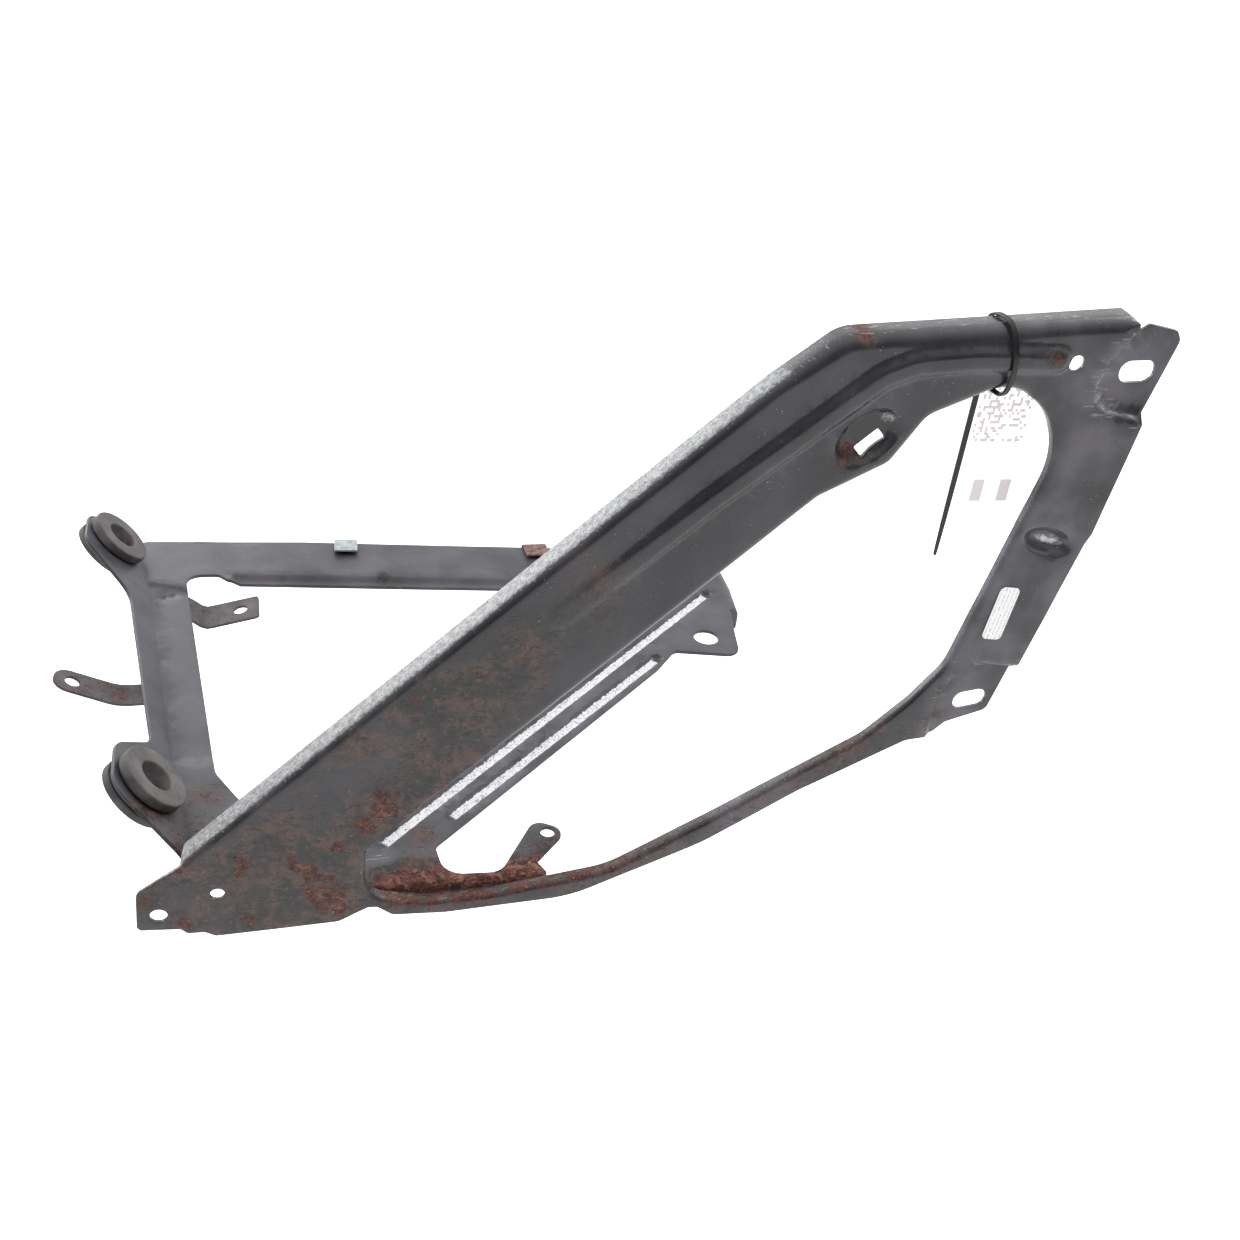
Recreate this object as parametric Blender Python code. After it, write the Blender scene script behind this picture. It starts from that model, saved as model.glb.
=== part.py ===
"""Pressed-steel carrier bracket: an upright ring stamping welded to a level triangular stamping.

Drawing axes, in millimetres: X runs to the right along the bracket, Y runs back, Z runs up.
Y = 0 is the front face of the ring stamping and Z = 0 is the top face of the rear stamping.
Every mesh is written in metres from DATUM, the bolting face of the upper right pad.
"""
import math

import bmesh
import bpy
import numpy as np
from mathutils.geometry import delaunay_2d_cdt

MM = 0.001
DATUM = (379.0, 5.0, 259.0)

SHEET = 2.0             # thickness of both stampings
EDGE_STEP = 9.0         # longest straight run between two outline points
ARC_STEP = 3.2          # longest run round a rounded corner
ROW_STEP = 6.0          # spacing of points along embossed walls
BEND_STEPS = 3
SLIVER_AREA = 1e-3      # triangles thinner than this lie along a straight outline

# ---------------------------------------------------------------- ring stamping
TOP_FLANGE = 12.5
TOP_BEND = 6.0
DIAGONAL_BEND = 4.5
INNER_FLANGE = 7.0
INNER_BEND = 4.5
LEG_FLANGE = 5.0
LEG_BEND = 2.2
RAIL_FLANGE = 6.0
RAIL_BEND = 2.6
PAD_DEPTH = 3.0         # the two slotted pads stand this far behind the web
BEAD_HALF_WIDTH = 5.6
BEAD_DEPTH = 2.8
RECESS_DEPTH = 4.2
DART_DEPTH = 3.4
SLOT_SIZE = (15.4, 9.2)
CLIP_SLOT_SIZE = (11.6, 5.0)

# ---------------------------------------------------------------- rear stamping
FOLD_ANGLE = math.radians(45.0)
FOLD_RADIUS = 5.0
FOLD_X_AT_RING = 16.9   # the fold leans to the left as it runs back
FOLD_LEAN = 0.12
GROOVE_HALF_WIDTH = 4.4
GROOVE_DEPTH = 2.6
RAIL_STEP = 3.2
POST_STEP = 1.6
END_FLANGE = 15.0
END_BEND = 7.0
FLOOR_LIP = 6.0
FLOOR_BEND = 2.5

# ---------------------------------------------------------------- fitted pieces
GROMMET_HOLE = 12.4
GROMMET_CORE = 12.0
GROMMET_FRONT = 17.3
GROMMET_BACK = 18.4
GROMMET_BORE = 8.2
GROMMET_CENTRES = {"upper_grommet": (-38.3, 285.8), "lower_grommet": (-12.0, 68.8)}
STRAP = 1.6
TIE_WIDTH = 2.6
TIE_THICKNESS = 1.1
TAG_SIZE = (48.0, 73.0)
TAG_THICKNESS = 0.6
TAG_HOLE = 2.8
TAG_REACH = 37.5        # the tag hangs to the right of the strand it is threaded on
TAG_HINGE = (317.4, 14.6, 241.4)
STICKER_CENTRE = (349.2, 138.6)
STICKER_SIZE = (9.2, 26.0)
STICKER_TILT = -6.4
STICKER_THICKNESS = 0.3
STICKER_GAP = 0.3
CLIP_GAUGE = 0.9
CLIP_NUTS = {"zinc_clip_nut": (97.4, 306.0, 13.6, -4.4), "rusty_clip_nut": (211.2, 297.4, 14.6, 2.0)}


def clear_scene():
    for obj in list(bpy.data.objects):
        bpy.data.objects.remove(obj, do_unlink=True)


def material(name, colour, metallic, roughness):
    """One Principled material, named after its node."""
    mat = bpy.data.materials.new(name)
    mat.use_nodes = True
    shader = mat.node_tree.nodes["Principled BSDF"]
    shader.inputs["Base Color"].default_value = (*colour, 1.0)
    shader.inputs["Metallic"].default_value = metallic
    shader.inputs["Roughness"].default_value = roughness
    return mat


def add_object(name, mesh_builder, mat, pivot=DATUM, smooth_angle=35.0):
    """Turns a bmesh in drawing millimetres into a named object standing at its pivot."""
    for vert in mesh_builder.verts:
        vert.co = [(vert.co[i] - pivot[i]) * MM for i in range(3)]
    bmesh.ops.recalc_face_normals(mesh_builder, faces=mesh_builder.faces[:])
    mesh = bpy.data.meshes.new(name)
    mesh_builder.to_mesh(mesh)
    mesh_builder.free()
    mesh.polygons.foreach_set("use_smooth", [True] * len(mesh.polygons))
    mesh.set_sharp_from_angle(angle=math.radians(smooth_angle))
    mesh.materials.append(mat)
    obj = bpy.data.objects.new(name, mesh)
    obj.location = [(pivot[i] - DATUM[i]) * MM for i in range(3)]
    bpy.context.collection.objects.link(obj)
    return obj


# ---------------------------------------------------------------- outlines
def rounded_loop(corners, edge_step=EDGE_STEP, arc_step=ARC_STEP):
    """Rounds each corner (a, b, radius, flange depth, bend radius) of a closed outline."""
    points = []
    count = len(corners)
    ends = []
    for i, (a, b, radius, depth, bend) in enumerate(corners):
        here = np.array([a, b])
        before = np.array(corners[i - 1][:2]) - here
        after = np.array(corners[(i + 1) % count][:2]) - here
        len_before = np.linalg.norm(before)
        len_after = np.linalg.norm(after)
        before = before / len_before
        after = after / len_after
        opening = math.acos(max(-1.0, min(1.0, float(before @ after))))
        cut = radius / max(math.tan(opening / 2.0), 1e-6)
        cut = min(cut, 0.48 * len_before, 0.48 * len_after)
        true_radius = cut * math.tan(opening / 2.0)
        turn = math.pi - opening
        steps = max(1, int(math.ceil(true_radius * turn / arc_step)))
        steps = max(steps, int(math.ceil(math.degrees(turn) / 30.0))) if radius > 0.0 else 1
        middle = (before + after) / np.linalg.norm(before + after) if turn > 1e-4 else before
        centre = here + middle * (true_radius / math.sin(opening / 2.0)) if turn > 1e-4 else here
        start = here + before * cut
        finish = here + after * cut
        arc = []
        for k in range(steps + 1):
            if turn < 1e-3:
                arc.append(start + (finish - start) * k / steps)
                continue
            blend = k / steps
            angle = blend * turn
            radial = start - centre
            side = 1.0 if (radial[0] * (finish - centre)[1] - radial[1] * (finish - centre)[0]) > 0 else -1.0
            cos_a = math.cos(side * angle)
            sin_a = math.sin(side * angle)
            arc.append(centre + np.array([radial[0] * cos_a - radial[1] * sin_a,
                                          radial[0] * sin_a + radial[1] * cos_a]))
        ends.append((arc, depth, bend))
    for i, (arc, depth, bend) in enumerate(ends):
        points.extend([(p[0], p[1], depth, bend) for p in arc])
        next_arc, next_depth, next_bend = ends[(i + 1) % count]
        run = next_arc[0] - arc[-1]
        pieces = max(1, int(math.ceil(np.linalg.norm(run) / edge_step)))
        for k in range(1, pieces):
            f = k / pieces
            p = arc[-1] + run * f
            points.append((p[0], p[1], depth + (next_depth - depth) * f, bend + (next_bend - bend) * f))
    kept = []
    for p in points:
        if not kept or math.hypot(p[0] - kept[-1][0], p[1] - kept[-1][1]) > 0.05:
            kept.append(p)
    if math.hypot(kept[0][0] - kept[-1][0], kept[0][1] - kept[-1][1]) <= 0.05:
        kept.pop()
    return np.array(kept)


def round_hole(a, b, radius, thickness, segments=20):
    turn = np.linspace(0.0, 2.0 * math.pi, segments, endpoint=False)
    return np.column_stack([a + radius * np.cos(turn), b + radius * np.sin(turn),
                            np.full(segments, thickness), np.zeros(segments)])


def slot_hole(a, b, length, height, angle, corner, thickness):
    """A slot with rounded corners, turned by an angle in degrees."""
    cos_a = math.cos(math.radians(angle))
    sin_a = math.sin(math.radians(angle))
    corners = []
    for side_a, side_b in ((-1, -1), (1, -1), (1, 1), (-1, 1)):
        u = side_a * length / 2.0
        v = side_b * height / 2.0
        corners.append((a + u * cos_a - v * sin_a, b + u * sin_a + v * cos_a, corner, thickness, 0.0))
    return rounded_loop(corners, arc_step=1.6)


def signed_area(loop):
    a = loop[:, 0]
    b = loop[:, 1]
    return 0.5 * float(np.sum(a * np.roll(b, -1) - np.roll(a, -1) * b))


def loop_normals(loop):
    """Unit normals that point out of a counter-clockwise loop."""
    ahead = np.roll(loop[:, :2], -1, axis=0) - loop[:, :2]
    ahead = ahead / np.linalg.norm(ahead, axis=1)[:, None]
    behind = np.roll(ahead, 1, axis=0)
    along = ahead + behind
    along = along / np.linalg.norm(along, axis=1)[:, None]
    return np.column_stack([along[:, 1], -along[:, 0]])


def inside(loop, a, b):
    """Even-odd test of many points against one closed loop."""
    result = np.zeros(len(a), dtype=bool)
    a0, b0 = loop[:, 0], loop[:, 1]
    a1, b1 = np.roll(a0, -1), np.roll(b0, -1)
    for i in range(len(loop)):
        crosses = (b0[i] > b) != (b1[i] > b)
        if not crosses.any():
            continue
        at = a0[i] + (b - b0[i]) * (a1[i] - a0[i]) / (b1[i] - b0[i] + 1e-12)
        result ^= crosses & (a < at)
    return result


def distance_to_path(path, a, b, closed=False):
    """Distance from points to a polyline, and how far along it the nearest spot lies."""
    best = np.full(np.shape(a), 1e9)
    along = np.zeros(np.shape(a))
    travelled = 0.0
    count = len(path) if closed else len(path) - 1
    for i in range(count):
        p = np.array(path[i][:2], dtype=float)
        q = np.array(path[(i + 1) % len(path)][:2], dtype=float)
        run = q - p
        length = float(np.linalg.norm(run))
        t = np.clip(((a - p[0]) * run[0] + (b - p[1]) * run[1]) / length ** 2, 0.0, 1.0)
        away = np.hypot(a - p[0] - t * run[0], b - p[1] - t * run[1])
        nearer = away < best
        best = np.where(nearer, away, best)
        along = np.where(nearer, travelled + t * length, along)
        travelled += length
    return best, along


def soft_step(value, start, end):
    t = np.clip((value - start) / (end - start), 0.0, 1.0)
    return t * t * (3.0 - 2.0 * t)


def region_depth(loop, a, b, ramp):
    """1 well inside a loop, 0 outside, with a soft wall of the given width inside the edge."""
    away, _ = distance_to_path(loop, a, b, closed=True)
    return np.where(inside(np.array(loop, dtype=float), a, b), soft_step(away, 0.0, ramp), 0.0)


# ---------------------------------------------------------------- pressed sheet
def refined(loop, relief):
    """Splits outline runs wherever the embossing bends between two points."""
    points = [tuple(p) for p in loop]
    for _ in range(3):
        result = []
        for i, here in enumerate(points):
            ahead = points[(i + 1) % len(points)]
            middle = tuple((p + q) / 2.0 for p, q in zip(here, ahead))
            heights = relief(np.array([here[0], middle[0], ahead[0]]), np.array([here[1], middle[1], ahead[1]]))
            result.append(here)
            long_enough = math.hypot(ahead[0] - here[0], ahead[1] - here[1]) > 2.4
            if long_enough and abs(heights[1] - (heights[0] + heights[2]) / 2.0) > 0.12:
                result.append(middle)
        points = result
    return np.array(points)


def path_rows(path, offsets, spacing):
    """Points in rows beside a polyline, with half rings round its two ends."""
    rows = []
    for here, ahead in zip(path[:-1], path[1:]):
        here, ahead = np.array(here, dtype=float), np.array(ahead, dtype=float)
        run = ahead - here
        length = float(np.linalg.norm(run))
        along = run / length
        side = np.array([-along[1], along[0]])
        count = max(1, int(round(length / spacing)))
        for k in range(count + (1 if ahead is path[-1] else 0)):
            for offset in offsets:
                for sign in ((1.0, -1.0) if offset else (1.0,)):
                    rows.append(here + run * (k + 0.5) / count + side * offset * sign)
    for tip, neighbour in ((path[0], path[1]), (path[-1], path[-2])):
        away = math.atan2(tip[1] - neighbour[1], tip[0] - neighbour[0])
        for offset in offsets:
            for turn in (-90.0, -45.0, 0.0, 45.0, 90.0) if offset else (0.0,):
                angle = away + math.radians(turn)
                rows.append(np.array([tip[0] + offset * math.cos(angle), tip[1] + offset * math.sin(angle)]))
    return [tuple(p) for p in rows]


def loop_rows(loop, insets, spacing):
    """Points in rows just inside a closed outline."""
    corners = [(p[0], p[1], 3.0, 0.0, 0.0) for p in loop]
    dense = rounded_loop(corners, spacing, spacing)
    if signed_area(dense) < 0.0:
        dense = dense[::-1]
    normals = loop_normals(dense)
    rows = []
    for inset in insets:
        rows.extend([tuple(p) for p in dense[:, :2] - normals * inset])
    return rows


def oval_rows(centre, half_size, angle, shares, count):
    """Points in rings over an oval hollow."""
    cos_a = math.cos(math.radians(angle))
    sin_a = math.sin(math.radians(angle))
    rows = [centre]
    for share in shares:
        for k in range(count):
            u = share * half_size[0] * math.cos(2.0 * math.pi * k / count)
            v = share * half_size[1] * math.sin(2.0 * math.pi * k / count)
            rows.append((centre[0] + u * cos_a - v * sin_a, centre[1] + u * sin_a + v * cos_a))
    return rows


def kept_rows(rows, loops, margin):
    """Drops row points that leave the sheet, crowd an edge or crowd each other."""
    points = np.array(rows)
    keep = inside(loops[0], points[:, 0], points[:, 1])
    for loop in loops[1:]:
        keep &= ~inside(loop, points[:, 0], points[:, 1])
    for loop in loops:
        away, _ = distance_to_path(loop, points[:, 0], points[:, 1], closed=True)
        keep &= away > margin
    result = []
    for point in points[keep]:
        if all(abs(point[0] - q[0]) > 0.7 or abs(point[1] - q[1]) > 0.7 for q in result):
            result.append(point)
    return np.array(result).reshape(-1, 2)


def triangulate(loops, extra):
    """Fills between the first loop and the rest; returns triangles over loops plus extra points."""
    points = []
    edges = []
    for loop in loops:
        start = len(points)
        points.extend([tuple(p[:2]) for p in loop])
        edges.extend([(start + i, start + (i + 1) % len(loop)) for i in range(len(loop))])
    points.extend([tuple(p) for p in extra])
    found, _, faces, origins, _, _ = delaunay_2d_cdt(points, edges, [], 0, 1e-7)
    flat = np.array([(p[0], p[1]) for p in found])
    corners = flat[np.array(faces)]
    centres = corners.mean(axis=1)
    first, second = corners[:, 1] - corners[:, 0], corners[:, 2] - corners[:, 0]
    keep = np.abs(first[:, 0] * second[:, 1] - first[:, 1] * second[:, 0]) > SLIVER_AREA
    keep &= inside(loops[0], centres[:, 0], centres[:, 1])
    for loop in loops[1:]:
        keep &= ~inside(loop, centres[:, 0], centres[:, 1])
    return [[origins[i][0] for i in face] for face, wanted in zip(faces, keep) if wanted]


def edge_rings(loop, outward, thickness):
    """Cross-sections of a flanged edge as (positions, heights), from face round to back."""
    depth = np.maximum(loop[:, 2], thickness)
    wall = np.clip(depth - thickness, 0.5, thickness)
    bend = np.minimum(loop[:, 3], depth - 0.2)
    root = np.maximum(bend, wall)
    inner = root - wall
    sections = []
    for k in range(BEND_STEPS + 1):
        turn = math.pi / 2.0 * k / BEND_STEPS
        sections.append((-bend + bend * math.sin(turn), -(bend - bend * math.cos(turn))))
    sections.append((np.zeros(len(loop)), -depth))
    sections.append((-wall, -depth))
    for k in range(BEND_STEPS, -1, -1):
        turn = math.pi / 2.0 * k / BEND_STEPS
        height = np.maximum(-thickness - inner * (1.0 - math.cos(turn)), -depth)
        sections.append((-root + inner * math.sin(turn), height))
    return [(loop[:, :2] + outward * shift[:, None], height) for shift, height in sections]


def pressed_sheet(outer, holes, relief, place, thickness, rows=()):
    """A sheet with flanged edges: the loops carry a flange depth and a bend radius per point.

    relief(a, b) lifts the sheet off the blank and place(a, b, h) sets it in space.
    """
    builder = bmesh.new()
    face_loops = []
    back_loops = []
    for index, loop in enumerate([outer] + list(holes)):
        loop = refined(loop if signed_area(loop) > 0.0 else loop[::-1], relief)
        outward = loop_normals(loop) if index == 0 else -loop_normals(loop)
        rings = edge_rings(loop, outward, thickness)
        made = []
        for spots, height in rings:
            lift = height + relief(spots[:, 0], spots[:, 1])
            made.append([builder.verts.new(place(p[0], p[1], h)) for p, h in zip(spots, lift)])
        for lower, upper in zip(made[:-1], made[1:]):
            for i in range(len(loop)):
                j = (i + 1) % len(loop)
                builder.faces.new((lower[i], lower[j], upper[j], upper[i]))
        face_loops.append((rings[0][0], made[0]))
        back_loops.append((rings[-1][0], made[-1]))
    for entries, drop in ((face_loops, 0.0), (back_loops, thickness)):
        loops = [entry[0] for entry in entries]
        spots = kept_rows(rows, loops, 0.9) if len(rows) else np.zeros((0, 2))
        verts = [vert for entry in entries for vert in entry[1]]
        lift = relief(spots[:, 0], spots[:, 1]) - drop
        verts.extend([builder.verts.new(place(p[0], p[1], h)) for p, h in zip(spots, lift)])
        for triangle in triangulate(loops, spots):
            builder.faces.new([verts[i] for i in triangle])
    bmesh.ops.remove_doubles(builder, verts=builder.verts[:], dist=1e-4)
    bmesh.ops.dissolve_degenerate(builder, edges=builder.edges[:], dist=1e-4)
    bmesh.ops.triangulate(builder, faces=[f for f in builder.faces if len(f.verts) > 3])
    return builder


# ---------------------------------------------------------------- ring stamping
def ring_outline():
    flat = (SHEET, 0.0)
    diagonal = (TOP_FLANGE, DIAGONAL_BEND)
    top = (TOP_FLANGE, TOP_BEND)
    return rounded_loop([
        (-8.4, 11.6, 5.0, *flat),           # lower left tab
        (-9.2, -8.6, 2.6, *flat),
        (8.4, -9.6, 2.2, *flat),
        (11.0, -12.4, 2.2, *flat),
        (18.0, -12.4, 3.0, *flat),
        (22.5, -15.1, 2.4, *flat),
        (74.0, -12.3, 7.0, *flat),
        (86.4, -5.2, 3.0, *flat),           # notch in the lower edge
        (90.4, -5.4, 3.0, *flat),
        (97.0, -10.6, 4.0, *flat),
        (120.0, -11.4, 30.0, *flat),
        (176.0, -7.4, 60.0, *flat),
        (234.0, 19.4, 60.0, *flat),
        (276.0, 47.0, 40.0, *flat),
        (321.0, 72.0, 10.0, *flat),
        (334.6, 73.6, 3.0, *flat),          # lower right pad
        (340.1, 79.0, 3.0, *flat),
        (358.3, 85.0, 4.5, *flat),
        (363.3, 107.6, 2.2, *flat),
        (366.0, 111.0, 2.2, *flat),
        (379.0, 171.6, 5.0, *flat),         # outer edge of the leg, past the dart
        (381.0, 176.6, 5.0, *flat),
        (387.6, 226.0, 6.0, *flat),
        (387.5, 230.6, 2.4, *flat),         # upper right pad
        (394.3, 261.3, 3.5, *flat),
        (391.8, 265.2, 3.0, *flat),
        (379.1, 267.6, 2.4, *flat),
        (375.3, 264.8, 2.0, *flat),
        (372.4, 268.6, 1.6, *flat),
        (370.2, 270.6, 1.6, *top),          # rear edge of the top flange
        (254.8, 260.6, 16.0, *top),
        (230.0, 240.2, 20.0, *diagonal),
        (11.4, 27.4, 2.6, *diagonal),       # foot of the diagonal flange
        (9.4, 25.0, 2.2, *flat),
    ])


def ring_opening():
    inner = (INNER_FLANGE, INNER_BEND)
    leg = (LEG_FLANGE, LEG_BEND)
    rail = (RAIL_FLANGE, RAIL_BEND)
    return rounded_loop([
        (85.0, 27.6, 8.0, *rail),
        (85.0, 0.0, 13.0, *rail),
        (112.0, -4.6, 25.0, *rail),
        (141.0, -3.2, 40.0, *rail),
        (192.0, 5.6, 40.0, *rail),
        (236.5, 32.4, 80.0, *rail),
        (301.0, 74.4, 30.0, *leg),
        (319.0, 93.5, 20.0, *leg),
        (331.4, 111.0, 22.0, *leg),
        (353.6, 211.0, 34.0, *leg),
        (345.0, 232.0, 30.0, *leg),
        (325.5, 243.0, 20.0, *inner),
        (294.6, 228.6, 10.0, *inner),
        (283.0, 208.6, 9.0, *inner),
        (256.4, 193.8, 9.0, *inner),
        (166.0, 104.4, 90.0, *inner),
    ])


RING_BEAD_PATH = [(349.6, 253.6), (307.0, 253.2), (284.0, 250.8), (271.5, 245.6), (258.0, 234.0),
                  (210.5, 192.6), (158.0, 142.0)]
RECESS_CENTRE = (270.8, 220.4)
RECESS_ANGLE = 43.0
RECESS_HALF_SIZE = (15.5, 10.5)
DART_CENTRE = (362.0, 173.0)
DART_HALF_SIZE = (14.5, 7.0)
DART_ANGLE = -16.0
UPPER_PAD = [(372.6, 275.0), (372.4, 266.4), (363.6, 253.6), (360.4, 242.6), (362.6, 234.0), (370.0, 230.4),
             (388.0, 226.8), (402.0, 226.8), (402.0, 275.0)]
LOWER_PAD = [(368.0, 110.8), (350.5, 112.6), (343.8, 111.6), (335.0, 105.4), (331.2, 98.0), (329.6, 87.0),
             (330.2, 66.0), (372.0, 66.0)]


def oval_depth(a, b, centre, half_size, angle, rim):
    """1 on the floor of an oval hollow, 0 outside it; rim is the share taken by its wall."""
    cos_a = math.cos(math.radians(angle))
    sin_a = math.sin(math.radians(angle))
    u = ((a - centre[0]) * cos_a + (b - centre[1]) * sin_a) / half_size[0]
    v = (-(a - centre[0]) * sin_a + (b - centre[1]) * cos_a) / half_size[1]
    return 1.0 - soft_step(np.hypot(u, v), 1.0 - rim, 1.0)


def ring_relief(a, b):
    """Height of the ring's face over its blank; everything embossed here is pushed back."""
    away, along = distance_to_path(RING_BEAD_PATH, a, b)
    fade = 1.0 - soft_step(along, 150.0, 268.0)
    bead = BEAD_DEPTH * fade * (1.0 - soft_step(away, BEAD_HALF_WIDTH - 3.6, BEAD_HALF_WIDTH + 1.2))
    pads = PAD_DEPTH * (region_depth(UPPER_PAD, a, b, 4.2) + region_depth(LOWER_PAD, a, b, 4.2))
    recess = RECESS_DEPTH * oval_depth(a, b, RECESS_CENTRE, RECESS_HALF_SIZE, RECESS_ANGLE, 0.42)
    dart = DART_DEPTH * oval_depth(a, b, DART_CENTRE, DART_HALF_SIZE, DART_ANGLE, 0.75)
    return -(bead + pads + recess + dart)


def build_ring():
    holes = [
        ring_opening(),
        slot_hole(379.4, 248.0, *SLOT_SIZE, 3.0, SLOT_SIZE[1] / 2.0, SHEET),
        slot_hole(348.6, 91.2, *SLOT_SIZE, 10.0, SLOT_SIZE[1] / 2.0, SHEET),
        slot_hole(273.6, 216.6, *CLIP_SLOT_SIZE, 44.0, 0.6, SHEET),
        round_hole(0.0, -1.0, 3.6, SHEET),
        round_hole(24.0, 8.9, 3.0, SHEET),
        round_hole(350.2, 252.2, 3.2, SHEET),
    ]
    rows = oval_rows(RECESS_CENTRE, RECESS_HALF_SIZE, RECESS_ANGLE, (1.0, 0.86, 0.72, 0.58), 20)
    rows += oval_rows(DART_CENTRE, DART_HALF_SIZE, DART_ANGLE, (1.0, 0.8, 0.6, 0.4, 0.2), 16)
    rows += loop_rows(UPPER_PAD, (0.0, 1.4, 2.8, 4.2), 5.0)
    rows += loop_rows(LOWER_PAD, (0.0, 1.4, 2.8, 4.2), 5.0)
    rows += path_rows(RING_BEAD_PATH, (0.0, 2.0, 3.6, 5.2, 6.8), ROW_STEP)
    builder = pressed_sheet(ring_outline(), holes, ring_relief, lambda a, b, h: (a, -h, b), SHEET, rows)
    add_object("ring_panel", builder, material("ring_panel", (0.05, 0.05, 0.055), 0.3, 0.4))


# ---------------------------------------------------------------- rear stamping
def fold_x(b):
    return FOLD_X_AT_RING - FOLD_LEAN * b


FOLD_SIDE = (1.0 / math.hypot(1.0, FOLD_LEAN), FOLD_LEAN / math.hypot(1.0, FOLD_LEAN))


def place_rear(a, b, h):
    """Lays the blank level and turns up everything to the left of the fold."""
    past = -(a - fold_x(b)) * FOLD_SIDE[0]
    if past <= 0.0:
        return (a, b, h)
    foot_a = a + past * FOLD_SIDE[0]
    foot_b = b + past * FOLD_SIDE[1]
    arc = FOLD_RADIUS * FOLD_ANGLE
    turn = min(past, arc) / FOLD_RADIUS
    out = FOLD_RADIUS * math.sin(turn)
    rise = FOLD_RADIUS * (1.0 - math.cos(turn))
    if past > arc:
        out += (past - arc) * math.cos(FOLD_ANGLE)
        rise += (past - arc) * math.sin(FOLD_ANGLE)
    out -= h * math.sin(turn)
    rise += h * math.cos(turn)
    return (foot_a - out * FOLD_SIDE[0], foot_b - out * FOLD_SIDE[1], rise)


def rear_outline():
    flat = (SHEET, 0.0)
    end = (END_FLANGE, END_BEND)
    lip = (FLOOR_LIP, FLOOR_BEND)
    return rounded_loop([
        (14.0, 2.6, 2.4, *flat),
        (14.0, 28.0, 4.0, *flat),
        (6.6, 35.4, 3.0, *flat),            # left edge of the turned-up strip
        (-9.0, 43.0, 12.0, *flat),
        (-30.6, 53.0, 15.0, *flat),         # lower grommet ear
        (-30.2, 87.0, 16.0, *flat),
        (-9.4, 107.0, 12.0, *flat),
        (-25.4, 241.0, 22.0, *flat),
        (-57.2, 266.0, 15.0, *flat),        # upper grommet ear
        (-56.8, 305.0, 17.0, *flat),
        (-27.0, 305.6, 5.0, *flat),
        (-17.0, 310.6, 4.0, *flat),
        (72.0, 307.2, 0.0, *flat),          # rear edge of the rail
        (203.0, 297.2, 0.0, *flat),
        (296.0, 290.2, 2.0, *flat),
        (308.0, 289.2, 4.0, 8.0, 5.0),
        (325.6, 286.0, 9.0, *end),          # turned-down right end
        (325.4, 248.0, 20.0, *end),
        (322.8, 222.4, 2.0, *end),
        (315.6, 220.6, 2.0, *flat),
        (308.4, 173.4, 8.0, *flat),         # ear with the large hole
        (271.0, 179.8, 5.0, *flat),
        (257.0, 162.6, 30.0, *flat),
        (119.0, 30.8, 5.0, *flat),          # cut-out beside the floor
        (121.0, 12.4, 11.0, *flat),
        (146.0, 11.4, 9.0, *flat),
        (166.6, 44.8, 6.0, *flat),          # small tab on the floor
        (181.4, 36.4, 6.0, *flat),
        (163.4, 16.4, 2.2, *flat),
        (167.6, 6.9, 2.4, *flat),
        (161.0, 6.9, 0.0, *lip),            # turned-down front edge of the floor
        (86.0, 6.9, 0.0, *lip),
        (80.0, 6.9, 3.0, *flat),
        (76.0, 2.6, 3.0, *flat),
    ])


def rear_opening():
    flat = (SHEET, 0.0)
    return rounded_loop([
        (5.2, 271.6, 11.0, *flat),
        (23.0, 271.8, 4.5, *flat),
        (28.6, 265.4, 4.5, *flat),
        (190.0, 253.2, 0.0, *flat),
        (286.0, 246.4, 14.0, *flat),
        (100.0, 60.0, 16.0, *flat),
        (36.0, 66.0, 16.0, *flat),
        (22.4, 92.0, 16.0, *flat),
    ])


BRACE_GROOVES = [[(306.0, 239.0), (96.0, 35.6)], [(259.0, 173.6), (129.1, 51.4)]]
RAIL_LIP = [(30.0, 262.0), (30.0, 272.4), (60.0, 270.4), (190.0, 261.2), (292.0, 254.0), (292.0, 236.0),
            (190.0, 243.0), (60.0, 252.0)]
POST_PANEL = [(1.6, 101.0), (27.0, 99.0), (27.0, 259.0), (6.4, 259.0), (-5.0, 262.6), (-17.0, 266.0)]
DIMPLES = [(-6.6, 250.6), (-1.6, 252.6)]


def rear_relief(a, b):
    """Height of the rear stamping's face over its blank; embossed parts are pushed down."""
    depth = np.zeros(np.shape(a))
    for groove in BRACE_GROOVES:
        away, _ = distance_to_path(groove, a, b)
        depth = depth + GROOVE_DEPTH * (1.0 - soft_step(away, 0.6, GROOVE_HALF_WIDTH))
    depth = depth + RAIL_STEP * region_depth(RAIL_LIP, a, b, 4.0)
    depth = depth + POST_STEP * region_depth(POST_PANEL, a, b, 3.0)
    for dimple in DIMPLES:
        depth = depth + 1.2 * (1.0 - soft_step(np.hypot(a - dimple[0], b - dimple[1]), 0.5, 2.8))
    return -depth


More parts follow.
